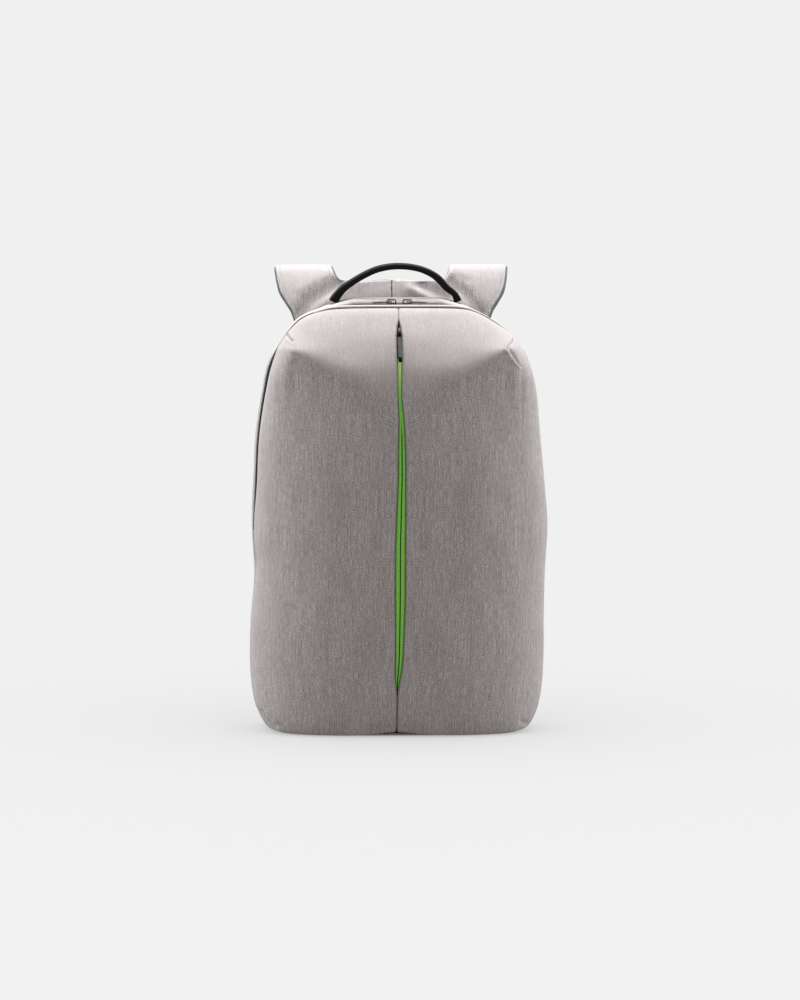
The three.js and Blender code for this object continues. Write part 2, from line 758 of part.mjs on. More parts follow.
function strapAdjuster(side) {
  const { width, height, bar, depth } = ADJUSTER;
  const cut = 2.5;
  const frame = new THREE.Shape(cutRectangle(width, height, cut).map(([a, b]) => new THREE.Vector2(a, b)));
  const slot = (height - 3 * bar) / 2;
  for (const middle of [-(slot + bar) / 2, (slot + bar) / 2]) {
    const hole = cutRectangle(width - 2 * bar, slot, 1).map(([a, b]) => new THREE.Vector2(a, b + middle));
    frame.holes.push(new THREE.Path(hole.reverse()));
  }
  const geometry = new THREE.ExtrudeGeometry(frame, { depth, bevelEnabled: false });
  geometry.rotateX(Math.PI / 2);
  geometry.translate(STRAP_SHIFT + side * ADJUSTER.x, ADJUSTER.y + depth / 2, ADJUSTER.top - height / 2);
  return geometry;
}

function strapWebbing(side) {
  const middle = ADJUSTER.top - ADJUSTER.height / 2;
  const turn = ADJUSTER.depth / 2 + WEBBING_THICK + GAP;
  const seatY = GUSSET_BACK_Y + GAP + BACK_THICK + GAP + WEBBING_THICK / 2;
  const foot = STRAP_SHIFT + side * ADJUSTER.x;
  const lower = side * WEBBING_FOOT.x;
  const path = [
    { x: lower, y: seatY, z: WEBBING_FOOT.low },
    { x: lower, y: seatY, z: WEBBING_FOOT.high - 6 },
    { x: THREE.MathUtils.lerp(lower, foot, 0.1), y: seatY + 1.5, z: WEBBING_FOOT.high + 6 },
    { x: THREE.MathUtils.lerp(lower, foot, 0.55), y: seatY + 10, z: 92 },
    { x: foot, y: ADJUSTER.y - turn, z: middle - 13 },
    { x: foot, y: ADJUSTER.y - turn, z: middle },
  ];
  for (let k = 1; k < 6; k++) {
    const angle = Math.PI * (1 - k / 6);
    path.push({ x: foot, y: ADJUSTER.y + turn * Math.cos(angle), z: middle + turn * Math.sin(angle) });
  }
  path.push({ x: foot, y: ADJUSTER.y + turn, z: middle });
  path.push({ x: foot, y: ADJUSTER.y + turn, z: middle - 16 });
  path.push({ x: foot, y: ADJUSTER.y + turn - 2, z: middle - 40 });
  path.push({ x: foot, y: ADJUSTER.y + turn - 3, z: middle - 64 });
  const loops = path.map((spot, k) => {
    const before = path[Math.max(0, k - 1)];
    const after = path[Math.min(path.length - 1, k + 1)];
    const across = new THREE.Vector3(0, before.z - after.z, after.y - before.y).normalize();
    const centre = new THREE.Vector3(spot.x, spot.y, spot.z);
    const band = cutRectangle(WEBBING_WIDTH, WEBBING_THICK, 0.4);
    return loopAt(centre, new THREE.Vector3(1, 0, 0), across, band);
  });
  return solidThrough(loops);
}

// Sliders and pulls, made along X with the zip below, then turned into place

function slider(size) {
  const half = size.length / 2;
  const wide = size.width / 2;
  const body = new THREE.Shape();
  body.moveTo(-half, -wide * 0.62);
  body.lineTo(-half * 0.3, -wide);
  body.lineTo(half * 0.75, -wide);
  body.lineTo(half, -wide * 0.7);
  body.lineTo(half, wide * 0.7);
  body.lineTo(half * 0.75, wide);
  body.lineTo(-half * 0.3, wide);
  body.lineTo(-half, wide * 0.62);
  const plate = new THREE.ExtrudeGeometry(body, { depth: size.height, bevelEnabled: false });
  plate.translate(0, 0, -size.height);
  const eyeHigh = 2 * PIN_RISE;
  const outer = size.eye / 2 + size.bridge;
  const bridge = new THREE.Shape();
  bridge.moveTo(-outer, -GAP);
  bridge.lineTo(outer, -GAP);
  bridge.lineTo(outer, eyeHigh * 0.5);
  bridge.quadraticCurveTo(outer, eyeHigh + size.bridge, outer - 2.4, eyeHigh + size.bridge);
  bridge.lineTo(2.4 - outer, eyeHigh + size.bridge);
  bridge.quadraticCurveTo(-outer, eyeHigh + size.bridge, -outer, eyeHigh * 0.5);
  const eye = new THREE.Path();
  eye.moveTo(-size.eye / 2, 0);
  eye.lineTo(-size.eye / 2, eyeHigh * 0.55);
  eye.quadraticCurveTo(-size.eye / 2, eyeHigh, 1.6 - size.eye / 2, eyeHigh);
  eye.lineTo(size.eye / 2 - 1.6, eyeHigh);
  eye.quadraticCurveTo(size.eye / 2, eyeHigh, size.eye / 2, eyeHigh * 0.55);
  eye.lineTo(size.eye / 2, 0);
  bridge.holes.push(eye);
  const loop = new THREE.ExtrudeGeometry(bridge, {
    depth: size.bridgeWidth,
    bevelEnabled: false,
    curveSegments: 4,
  });
  loop.rotateX(Math.PI / 2);
  loop.translate(0, size.bridgeWidth / 2, 0);
  return fromSolid(toSolid(plate).add(toSolid(loop)));
}

// The pull turns about its end bar, which lies on the Y axis under the bridge.
function pull(size) {
  const wide = size.width / 2;
  const plate = new THREE.Shape();
  plate.moveTo(-size.bar / 2, -wide);
  plate.lineTo(size.length - wide, -wide);
  plate.absarc(size.length - wide, 0, wide, -Math.PI / 2, Math.PI / 2, false);
  plate.lineTo(-size.bar / 2, wide);
  const window = new THREE.Path();
  window.moveTo(size.bar / 2, -size.window / 2);
  window.lineTo(size.bar / 2, size.window / 2);
  window.lineTo(size.reach, size.window / 2);
  window.lineTo(size.reach, -size.window / 2);
  plate.holes.push(window);
  const geometry = new THREE.ExtrudeGeometry(plate, {
    depth: size.bar,
    bevelEnabled: false,
    curveSegments: 6,
  });
  geometry.translate(0, 0, -size.bar / 2);
  return geometry;
}

// Moves a geometry so that its X, Y and Z follow three given directions from a point.
function placed(geometry, point, along, across, outward) {
  const matrix = new THREE.Matrix4().makeBasis(along, across, outward).setPosition(point);
  return geometry.applyMatrix4(matrix);
}

function mainZipHead(side) {
  const x = MAIN_SLIDER_X[sideName(side)];
  const archTop = SECTIONS[SECTIONS.length - 1].z;
  const topZ = archTop - insetAt(INSETS.zipFront, archTop, 0) + GAP + MAIN_SLIDER.height;
  const seat = new THREE.Vector3(x, RIM_Y + GAP + ZIP_WIDTH / 2 - GAP / 2, topZ);
  const along = new THREE.Vector3(side, 0, 0);
  const across = new THREE.Vector3(0, side, 0);
  const up = new THREE.Vector3(0, 0, 1);
  const tilt = THREE.MathUtils.degToRad(MAIN_PULL.tilt);
  const down = new THREE.Vector3(side * Math.cos(tilt), 0, -Math.sin(tilt));
  const pin = seat.clone().addScaledVector(up, PIN_RISE);
  return {
    slider: placed(slider(MAIN_SLIDER), seat, along, across, up),
    pull: placed(pull(MAIN_PULL), pin, down, across, new THREE.Vector3().crossVectors(down, across)),
  };
}

function frontZipHead() {
  const place = placeAtHeight(FRONT_SLIDER_Z);
  const section = front.at(place);
  const out = centreNormal(place);
  const rise = FRONT_SLIDER.height + GAP - TAPE_DEPTH;
  const middle = sway(new THREE.Vector3(0, section.front, section.z));
  const seat = middle.addScaledVector(out, rise);
  const down = new THREE.Vector3(0, out.z, -out.y).negate();
  const across = new THREE.Vector3().crossVectors(out, down);
  const pin = seat.clone().addScaledVector(out, PIN_RISE);
  const tilt = THREE.MathUtils.degToRad(FRONT_PULL.tilt);
  const hang = down.clone().multiplyScalar(Math.cos(tilt)).addScaledVector(out, -Math.sin(tilt));
  return {
    slider: placed(slider(FRONT_SLIDER), seat, down, across, out),
    pull: placed(pull(FRONT_PULL), pin, hang, across, new THREE.Vector3().crossVectors(hang, across)),
  };
}

// Assembly

const backpack = new THREE.Group();
backpack.name = "laptop_backpack";

function addPiece(name, geometry, colour, roughness = 0.85) {
  const material = new THREE.MeshStandardMaterial({ color: colour, roughness });
  const piece = new THREE.Mesh(geometry, material);
  piece.name = name;
  backpack.add(piece);
}

const frontHead = frontZipHead();
for (const side of [-1, 1]) {
  const name = sideName(side);
  const head = mainZipHead(side);
  addPiece("front_panel_" + name, frontPanel(side), COLOURS.cloth);
  addPiece("front_zip_tape_" + name, frontTape(side), COLOURS.green);
  addPiece("main_zip_slider_" + name, head.slider, COLOURS.metal, 0.4);
  addPiece("main_zip_pull_" + name, head.pull, COLOURS.metal, 0.4);
  addPiece("shoulder_strap_" + name, shoulderStrap(side), COLOURS.cloth);
  addPiece("strap_adjuster_" + name, strapAdjuster(side), COLOURS.zip, 0.5);
  addPiece("strap_webbing_" + name, strapWebbing(side), COLOURS.webbing);
}
addPiece("front_zip_slider", frontHead.slider, COLOURS.metal, 0.4);
addPiece("front_zip_pull", frontHead.pull, COLOURS.tab, 0.6);
addPiece("top_welt", topWelt(), COLOURS.cloth);
addPiece("main_zip_tape", mainZipTape(), COLOURS.zip);
addPiece("rear_gusset", rearGusset(), COLOURS.cloth);
addPiece("base_panel", basePanel(), COLOURS.cloth);
addPiece("back_panel", backPanel(), COLOURS.mesh);
addPiece("carry_handle", carryHandle(), COLOURS.webbing);

export default backpack;
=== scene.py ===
import math

import bmesh
import bpy
import numpy as np
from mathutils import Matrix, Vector, noise


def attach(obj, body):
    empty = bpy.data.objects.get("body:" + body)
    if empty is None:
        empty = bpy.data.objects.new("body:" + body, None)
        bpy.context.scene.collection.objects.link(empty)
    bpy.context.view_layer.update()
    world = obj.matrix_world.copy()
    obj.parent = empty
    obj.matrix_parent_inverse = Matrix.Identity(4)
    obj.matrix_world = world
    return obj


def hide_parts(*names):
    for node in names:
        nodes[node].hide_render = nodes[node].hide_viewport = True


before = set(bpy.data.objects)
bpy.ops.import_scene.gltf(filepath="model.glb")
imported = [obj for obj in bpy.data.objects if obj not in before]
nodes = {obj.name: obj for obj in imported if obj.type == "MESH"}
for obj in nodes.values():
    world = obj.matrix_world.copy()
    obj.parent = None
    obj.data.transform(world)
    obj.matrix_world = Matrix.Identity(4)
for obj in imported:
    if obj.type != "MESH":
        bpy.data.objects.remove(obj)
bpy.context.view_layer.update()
mm = 0.001


def addObject(name, data):
    thing = bpy.data.objects.new(name, data)
    bpy.context.scene.collection.objects.link(thing)
    return thing


# camera first, at the angle of the photograph, in degrees and metres
lookFrom = {"turn": -2.2, "rise": 5.0, "away": 16.0, "aim": (0.0015, 0.015, 0.2327), "pixel": 0.001015,
            "tall": 1000, "sensor": 24.0, "farthest": 60.0}


def makeCamera():
    turn, rise = math.radians(lookFrom["turn"]), math.radians(lookFrom["rise"])
    outward = Vector((math.sin(turn) * math.cos(rise), -math.cos(turn) * math.cos(rise), math.sin(rise)))
    data = bpy.data.cameras.new("camera")
    data.sensor_fit = "VERTICAL"
    data.sensor_height = lookFrom["sensor"]
    data.lens = data.sensor_height * lookFrom["away"] / (lookFrom["pixel"] * lookFrom["tall"])
    data.clip_end = lookFrom["farthest"]
    camera = addObject("camera", data)
    camera.location = Vector(lookFrom["aim"]) + outward * lookFrom["away"]
    camera.rotation_euler = (-outward).to_track_quat("-Z", "Y").to_euler()
    bpy.context.scene.camera = camera


makeCamera()
print("camera set")


# curves and small mesh tools

def curveThrough(places, values, at):
    places, values = np.asarray(places, float), np.asarray(values, float)
    chord = np.diff(values, axis=0) / np.diff(places)[:, None]
    slope = np.vstack([chord[:1], (chord[1:] + chord[:-1]) / 2, chord[-1:]])
    at = np.clip(np.asarray(at, float), places[0], places[-1])
    i = np.clip(np.searchsorted(places, at, side="right") - 1, 0, len(places) - 2)
    wide = (places[i + 1] - places[i])[:, None]
    t = (at - places[i])[:, None] / wide
    return ((2 * t ** 3 - 3 * t ** 2 + 1) * values[i] + (t ** 3 - 2 * t ** 2 + t) * wide * slope[i]
            + (3 * t ** 2 - 2 * t ** 3) * values[i + 1] + (t ** 3 - t ** 2) * wide * slope[i + 1])


def curveOf(table, at):
    table = np.array(table, float)
    return curveThrough(table[:, 0], table[:, 1:], at)


def evenlyAlong(rows, count, axes=2):
    places = lengthsAlong(rows[:, :axes])
    return curveThrough(places, rows, np.linspace(0, places[-1], count))


def smoothStep(value, low, high):
    t = np.clip((np.asarray(value, float) - low) / (high - low), 0, 1)
    return t * t * (3 - 2 * t)


def hump(distance, reach):
    return np.exp(-(distance / reach) ** 2)


def upAndDown(value, spans):
    rise, fall = spans
    return smoothStep(value, *rise) * (1 - smoothStep(value, *fall))


def unit(vectors):
    return vectors / np.maximum(np.linalg.norm(vectors, axis=-1, keepdims=True), 1e-9)


def gridNormals(grid):
    return unit(np.cross(np.gradient(grid, axis=0), np.gradient(grid, axis=1)))


def joined(*columns):
    return np.stack(np.broadcast_arrays(*columns), -1)


def lengthsAlong(grid, axis=0):
    steps = np.linalg.norm(np.diff(grid, axis=axis), axis=-1)
    return np.insert(np.cumsum(steps, axis=axis), 0, 0, axis=axis)


def gridLengths(grid):
    return joined(lengthsAlong(grid, 1), lengthsAlong(grid).mean(axis=1, keepdims=True))


def wobble(points, size, seed):
    shift = Vector((seed, seed * 0.7, 0))
    heights = [noise.noise(Vector(p) / size + shift) for p in points.reshape(-1, 3)]
    return np.array(heights).reshape(points.shape[:-1])


def bothSides(make):
    make(-1, "left")
    make(1, "right")


def crowded(count, centre, reach, gain, samples=2000):
    fine = np.linspace(0, 1, samples)
    room = np.cumsum(1 + gain * hump(fine - centre, reach))
    return np.interp(np.linspace(room[0], room[-1], count), room, fine)


def crowdedEnds(count, share):
    even = np.linspace(0, 1, count)
    return share * (1 - np.cos(math.pi * even)) / 2 + (1 - share) * even


def makePiece(name, node, slot, points, faces, uv, materials, slots=None):
    points = np.asarray(points, float)
    corner = [points[[f[k] for f in faces]] for k in range(3)]
    if np.einsum("ij,ij->", corner[0], np.cross(corner[1], corner[2])) < 0:
        faces = [f[::-1] for f in faces]
    mesh = bpy.data.meshes.new(name)
    mesh.from_pydata((points * mm).tolist(), [], faces)
    layer = mesh.uv_layers.new(name="weave")
    order = np.zeros(len(mesh.loops), int)
    mesh.loops.foreach_get("vertex_index", order)
    layer.data.foreach_set("uv", (np.asarray(uv, float)[order] * mm).ravel())
    for material in materials:
        mesh.materials.append(material)
    if slots is not None:
        mesh.polygons.foreach_set("material_index", np.asarray(slots, int))
    mesh.shade_smooth()
    facing = np.zeros(len(mesh.vertices) * 3)
    mesh.vertices.foreach_get("normal", facing)
    calm = mesh.attributes.new("calm", "FLOAT", "POINT")
    calm.data.foreach_set("value", smoothStep(facing[2::3], *heather["calmFacing"]))
    piece = addObject(name, mesh)
    settle(piece, slot, node)
    return piece


def wallPiece(name, node, slot, outer, inner, uv, materials, wallSlots=(0, 0, 0), pick=None):
    rows, columns = outer.shape[:2]
    far = rows * columns
    index = np.arange(far).reshape(rows, columns)
    cells = np.stack([index[:-1, :-1], index[1:, :-1], index[1:, 1:], index[:-1, 1:]], -1).reshape(-1, 4)
    border = np.concatenate([index[:, 0], index[-1, 1:], index[-2::-1, -1], index[0, -2:0:-1]])
    after = np.roll(border, -1)
    rim = np.stack([after, border, border + far, after + far], -1)
    faces = np.concatenate([cells, (cells + far)[:, ::-1], rim])
    slots = np.repeat(wallSlots, (len(cells), len(cells), len(rim)))
    if pick is not None:
        slots[:2 * len(cells)] = pick.ravel()
    points = np.concatenate([outer, inner]).reshape(-1, 3)
    flat = np.tile(uv.reshape(-1, 2), (2, 1))
    return makePiece(name, node, slot, points, faces.tolist(), flat, materials, slots)


def tubePiece(name, node, slot, loops, uv, material):
    stations, around = loops.shape[:2]
    index = np.arange(stations * around).reshape(stations, around)
    turned = np.roll(index, -1, axis=1)
    cells = np.stack([index[:-1], turned[:-1], turned[1:], index[1:]], -1).reshape(-1, 4).tolist()
    cells += [index[0, ::-1].tolist(), index[-1].tolist()]
    makePiece(name, node, slot, loops.reshape(-1, 3), cells, uv.reshape(-1, 2), [material])


def roundedLoop(wide, high, corner, steps=4):
    pairs = []
    for sx, sy, start in ((1, -1, -90), (1, 1, 0), (-1, 1, 90), (-1, -1, 180)):
        for k in range(steps + 1):
            angle = math.radians(start + 90 * k / steps)
            pairs.append((sx * (wide / 2 - corner) + corner * math.cos(angle),
                          sy * (high / 2 - corner) + corner * math.sin(angle)))
    return np.array(pairs)


def sweepLoops(path, sideways, upward, wide, high, corner, steps=4):
    sideways = np.broadcast_to(sideways, path.shape)
    wide, high = np.broadcast_to(wide, len(path)), np.broadcast_to(high, len(path))
    loops = []
    for k in range(len(path)):
        # a corner stays just under half of the strip
        pairs = roundedLoop(wide[k], high[k], min(corner, wide[k] / 2.05, high[k] / 2.05), steps)
        loops.append(path[k] + pairs[:, :1] * sideways[k] + pairs[:, 1:] * upward[k])
    loops = np.array(loops)
    return loops, joined(lengthsAlong(loops, 1), lengthsAlong(path)[:, None])


def plainMesh(piece):
    bpy.context.view_layer.update()
    made = bpy.data.meshes.new_from_object(piece.evaluated_get(bpy.context.evaluated_depsgraph_get()))
    piece.modifiers.clear()
    piece.data = made


# merging distance in metres, angles in degrees
copying = {"merge": 1e-6, "flat": 1.5, "sharp": 32}


def cadCopy(name, node, slot, material, bevel, segments=2, body="bag"):
    mesh = nodes[node].data.copy()
    mesh.name = name
    work = bmesh.new()
    work.from_mesh(mesh)
    bmesh.ops.remove_doubles(work, verts=work.verts, dist=copying["merge"])
    flat = math.radians(copying["flat"])
    bmesh.ops.dissolve_limit(work, angle_limit=flat, verts=work.verts, edges=work.edges)
    work.to_mesh(mesh)
    work.free()
    mesh.materials.clear()
    mesh.materials.append(material)
    mesh.shade_smooth()
    piece = addObject(name, mesh)
    soften = piece.modifiers.new("bevel", "BEVEL")
    soften.width = bevel * mm
    soften.segments = segments
    soften.limit_method = "ANGLE"
    soften.angle_limit = math.radians(copying["sharp"])
    soften.harden_normals = True
    plainMesh(piece)
    settle(piece, slot, node, body=body)
    return piece


def settle(piece, slot, *replaced, body="bag"):
    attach(piece, body)
    if replaced:
        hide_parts(*replaced)


# finishes

def newFinish(name):
    material = bpy.data.materials.new(name)
    material.use_nodes = True
    tree = material.node_tree
    return material, tree, tree.nodes["Principled BSDF"]


def fill(tree, node, inputs):
    for key, value in inputs.items():
        if isinstance(value, bpy.types.NodeSocket):
            tree.links.new(value, node.inputs[key])
        else:
            node.inputs[key].default_value = value


def put(tree, kind, inputs=None, **traits):
    node = tree.nodes.new(kind)
    for key, value in traits.items():
        setattr(node, key, value)
    fill(tree, node, inputs or {})
    return node


def sums(tree, operation, first, second=0.0):
    return put(tree, "ShaderNodeMath", {0: first, 1: second}, operation=operation).outputs[0]


def weighted(tree, *shares):
    parts = [sums(tree, "MULTIPLY", value, share) for value, share in shares]
    total = parts[0]
    for part in parts[1:]:
        total = sums(tree, "ADD", total, part)
    return total


def waves(tree, along, size):
    return sums(tree, "SINE", sums(tree, "MULTIPLY", along, 2 * math.pi / size))


def objectPlace(tree):
    spot = put(tree, "ShaderNodeTexCoord").outputs["Object"]
    return spot, put(tree, "ShaderNodeSeparateXYZ", {"Vector": spot}).outputs["Z"]


def spread(tree, value, start, end, low=0.0, high=1.0):
    sizes = {"Value": value, "From Min": start, "From Max": end, "To Min": low, "To Max": high}
    return put(tree, "ShaderNodeMapRange", sizes).outputs[0]


def tinted(tree, factor, first, second):
    sides = {"Factor": factor, "A": first, "B": (*second, 1)}
    return put(tree, "ShaderNodeMix", sides, data_type="RGBA").outputs["Result"]


def weavePlace(tree, across, along):
    flat = put(tree, "ShaderNodeUVMap", uv_map="weave").outputs["UV"]
    return put(tree, "ShaderNodeMapping", {"Vector": flat, "Scale": (across, along, 1)}).outputs["Vector"]


def weaveAxes(tree):
    return put(tree, "ShaderNodeSeparateXYZ", {"Vector": weavePlace(tree, 1, 1)}).outputs


def cloudy(tree, vector, scale, detail=2.0, rough=0.5):
    sizes = {"Vector": vector, "Scale": scale, "Detail": detail, "Roughness": rough}
    return put(tree, "ShaderNodeTexNoise", sizes).outputs["Fac"]


def ramp(tree, value, stops):
    node = put(tree, "ShaderNodeValToRGB", {"Fac": value})
    bar = node.color_ramp
    while len(bar.elements) < len(stops):
        bar.elements.new(0.5)
    for element, (place, colour) in zip(bar.elements, stops):
        element.position = place
        element.color = (*colour, 1)
    return node.outputs["Color"]


def bump(tree, shader, height, strength, distance):
    node = put(tree, "ShaderNodeBump", {"Height": height, "Strength": strength, "Distance": distance})
    tree.links.new(node.outputs["Normal"], shader.inputs["Normal"])


# tones: place and colour; threads: across, along, detail, weight; calm where the cloth faces up
heather = {
    "tones": ((0.36, (0.078, 0.068, 0.066)), (0.5, (0.205, 0.181, 0.176)), (0.64, (0.4, 0.365, 0.355))),
    "warp": (1250, 130), "warpDetail": (3.0, 0.65), "warpWeight": 0.3,
    "threads": ((260, 1300, 2.0, 0.06), (1350, 950, 1.0, 0.42), (800, 26, 2.0, 0.16), (40, 14, 2.0, 0.06)),
    "calm": 0.62, "calmFacing": (0.12, 0.5), "thread": 0.0008, "weave": 0.12, "bump": (0.45, 0.0005),
    "roughness": (0.8, 0.96), "sheen": 0.1, "sheenRough": 0.45, "gloss": 0.25,
}


def heatherCloth(name):
    material, tree, shader = newFinish(name)
    warp = cloudy(tree, weavePlace(tree, *heather["warp"]), 1.0, *heather["warpDetail"])
    layers = [(warp, heather["warpWeight"])]
    for across, along, detail, weight in heather["threads"]:
        layers.append((cloudy(tree, weavePlace(tree, across, along), 1.0, detail), weight))
    blend = sums(tree, "SUBTRACT", weighted(tree, *layers), 0.5)
    calm = put(tree, "ShaderNodeAttribute", attribute_name="calm").outputs["Fac"]
    lively = sums(tree, "SUBTRACT", 1.0, sums(tree, "MULTIPLY", calm, heather["calm"]))
    blend = sums(tree, "ADD", sums(tree, "MULTIPLY", blend, lively), 0.5)
    over, under = (waves(tree, axis, heather["thread"]) for axis in weaveAxes(tree)[:2])
    plain = sums(tree, "MULTIPLY", over, under)
    bump(tree, shader, weighted(tree, (plain, heather["weave"]), (warp, 1.0)), *heather["bump"])
    fill(tree, shader, {"Base Color": ramp(tree, blend, heather["tones"]), "Sheen Weight": heather["sheen"],
                        "Roughness": spread(tree, warp, 0.0, 1.0, *heather["roughness"]),
                        "Sheen Roughness": heather["sheenRough"], "Specular IOR Level": heather["gloss"]})
    return material


# in metres. edge: painted shade along the line at the middle, where the two tape edges meet; lineZ: where
# that line ends; the two heights after it: where painted light turns the tape brighter towards the top, and
# above which a painted shadow turns it near black
greenZip = {"tones": ((0.3, (0.115, 0.3, 0.048)), (0.55, (0.17, 0.4, 0.07))), "edge": (0.008, 0.06, 0.003),
            "paintedLight": (0.3, 0.46, 0.13), "paintedShadow": (0.004, 0.004, 0.004), "rib": 0.0009, "ribWeight": 0.1,
            "edgeWide": (0.00036, 0.0008), "lineZ": (0.302, 0.322), "paintedLightZ": (0.3415, 0.3815),
            "grain": (1500, 400), "bump": (0.4, 0.0003), "roughness": 0.7, "gloss": 0.06}


def greenTape(name):
    material, tree, shader = newFinish(name)
    across, along = weaveAxes(tree)[:2]
    grain = cloudy(tree, weavePlace(tree, *greenZip["grain"]), 1.0)
    tone = weighted(tree, (waves(tree, along, greenZip["rib"]), greenZip["ribWeight"]), (grain, 1.0))
    height = objectPlace(tree)[1]
    # painted shade: a dark line along the middle of the tape, where its two edges meet, ending at lineZ
    near = spread(tree, across, *greenZip["edgeWide"], 1.0, 0.0)
    line = sums(tree, "MULTIPLY", near, spread(tree, height, *greenZip["lineZ"], 1.0, 0.0))
    # painted light: the tape turns brighter towards the top
    high = spread(tree, height, *greenZip["paintedLightZ"])
    # painted shadow: near black above that, beside the slider and its tab
    paintedShadow = sums(tree, "GREATER_THAN", height, greenZip["paintedLightZ"][1])
    colour = ramp(tree, tone, greenZip["tones"])
    for share, key in ((high, "paintedLight"), (line, "edge"), (paintedShadow, "paintedShadow")):
        colour = tinted(tree, share, colour, greenZip[key])
    bump(tree, shader, tone, *greenZip["bump"])
    fill(tree, shader, {"Base Color": colour, "Roughness": greenZip["roughness"],
                        "Specular IOR Level": greenZip["gloss"]})
    return material


ribs = {"grain": (1800, 700), "weight": 0.22, "tones": (0.25, 0.75), "deep": 0.0004}


def ribbed(name, dark, light, rib, slant, roughness, strength, gloss):
    material, tree, shader = newFinish(name)
    across, along = weaveAxes(tree)[:2]
    along = sums(tree, "ADD", along, sums(tree, "PINGPONG", across, slant))
    grain = cloudy(tree, weavePlace(tree, *ribs["grain"]), 1.0)
    tone = weighted(tree, (waves(tree, along, rib), ribs["weight"]), (grain, 1.0))
    bump(tree, shader, tone, strength, ribs["deep"])
    colour = ramp(tree, tone, list(zip(ribs["tones"], (dark, light))))
    fill(tree, shader, {"Base Color": colour, "Roughness": roughness, "Specular IOR Level": gloss})
    return material


airMesh = {"tones": ((0.15, (0.004, 0.004, 0.0045)), (0.85, (0.03, 0.029, 0.031))), "hole": 0.0031,
           "holeEdge": (0.2, 0.42), "squash": 0.8, "uneven": 0.12, "grain": 1400, "weights": (0.75, 0.35),
           "bump": (0.7, 0.0007), "roughness": 0.8, "sheen": 0.1}


def airMeshCloth(name):
    material, tree, shader = newFinish(name)
    holes = {"Vector": weavePlace(tree, 1, airMesh["squash"]), "Scale": 1 / airMesh["hole"],
             "Randomness": airMesh["uneven"]}
    cells = put(tree, "ShaderNodeTexVoronoi", holes, feature="F1")
    depth = spread(tree, cells.outputs["Distance"], *airMesh["holeEdge"])
    grain = cloudy(tree, weavePlace(tree, 1, 1), airMesh["grain"])
    tone = weighted(tree, *zip((depth, grain), airMesh["weights"]))
    bump(tree, shader, tone, *airMesh["bump"])
    fill(tree, shader, {"Base Color": ramp(tree, tone, airMesh["tones"]), "Roughness": airMesh["roughness"],
                        "Sheen Weight": airMesh["sheen"]})
    return material


# broad: how many times coarser the broad grain is
grains = {"fine": (4.0, 0.6), "broad": 9, "weights": (0.6, 0.4), "tones": (0.35, 0.65), "deep": 0.0001,
          "roughFrom": (0.3, 0.7), "rougher": (-0.07, 0.09), "tip": (0.003, 0.003, 0.003)}


def grained(name, dark, light, scale, roughness, metallic, strength=0.15, gloss=0.5, ends=None):
    material, tree, shader = newFinish(name)
    spot, height = objectPlace(tree)
    fine = cloudy(tree, spot, scale, *grains["fine"])
    broad = cloudy(tree, spot, scale / grains["broad"])
    tone = weighted(tree, *zip((fine, broad), grains["weights"]))
    colour = ramp(tree, tone, list(zip(grains["tones"], (dark, light))))
    if ends:
        low = sums(tree, "LESS_THAN", height, ends[0])
        high = sums(tree, "GREATER_THAN", height, ends[1])
        colour = tinted(tree, sums(tree, "MAXIMUM", low, high), colour, grains["tip"])
    bump(tree, shader, fine, strength, grains["deep"])
    rough = spread(tree, broad, *grains["roughFrom"], *(roughness + more for more in grains["rougher"]))
    fill(tree, shader, {"Base Color": colour, "Roughness": rough, "Metallic": metallic,
                        "Specular IOR Level": gloss})
    return material


# dark, light, rib, slant, roughness, bump, gloss
ribbedFinishes = {
    "black zip tape": ((0.004, 0.004, 0.0045), (0.022, 0.021, 0.023), 0.0012, 1.0, 0.85, 0.5, 0.02),
    "black webbing": ((0.0035, 0.0032, 0.0034), (0.013, 0.012, 0.0125), 0.0022, 0.0026, 0.75, 0.7, 0.04),
}
# dark, light, scale, roughness, metallic, bump, gloss, heights below and above which the ends are black
grainedFinishes = {
    "dark metal": ((0.018, 0.018, 0.019), (0.06, 0.06, 0.063), 900, 0.3, 1.0),
    "zip coil": ((0.006, 0.006, 0.007), (0.02, 0.02, 0.021), 1200, 0.5, 0.0, 0.15, 0.12),
    "moulded plastic": ((0.009, 0.009, 0.01), (0.022, 0.022, 0.023), 1500, 0.48, 0.0, 0.3),
    "pull tab": ((0.04, 0.038, 0.038), (0.075, 0.071, 0.071), 1600, 0.8, 0.0, 0.4, 0.0, (0.384, 0.4029)),
    "pull metal": ((0.05, 0.05, 0.055), (0.11, 0.11, 0.115), 300, 0.24, 1.0, 0.0),
    "edge binding": ((0.045, 0.046, 0.05), (0.09, 0.092, 0.098), 1400, 0.85, 0.0, 0.4, 0.05),
    "grey thread": ((0.16, 0.15, 0.148), (0.33, 0.315, 0.31), 2500, 0.75, 0.0),
    "black thread": ((0.012, 0.012, 0.013), (0.05, 0.05, 0.052), 2500, 0.65, 0.0),
}
clothFinish = heatherCloth("heather cloth")
meshFinish = airMeshCloth("air mesh")
greenFinish = greenTape("green zip tape")
zipFinish, webFinish = (ribbed(name, *values) for name, values in ribbedFinishes.items())
(metalFinish, coilFinish, plasticFinish, tabFinish, pullMetal, bindingFinish, threadFinish,
 blackThread) = (grained(name, *values) for name, values in grainedFinishes.items())
print("finishes made")


# repeats along a path: stitches and zip teeth

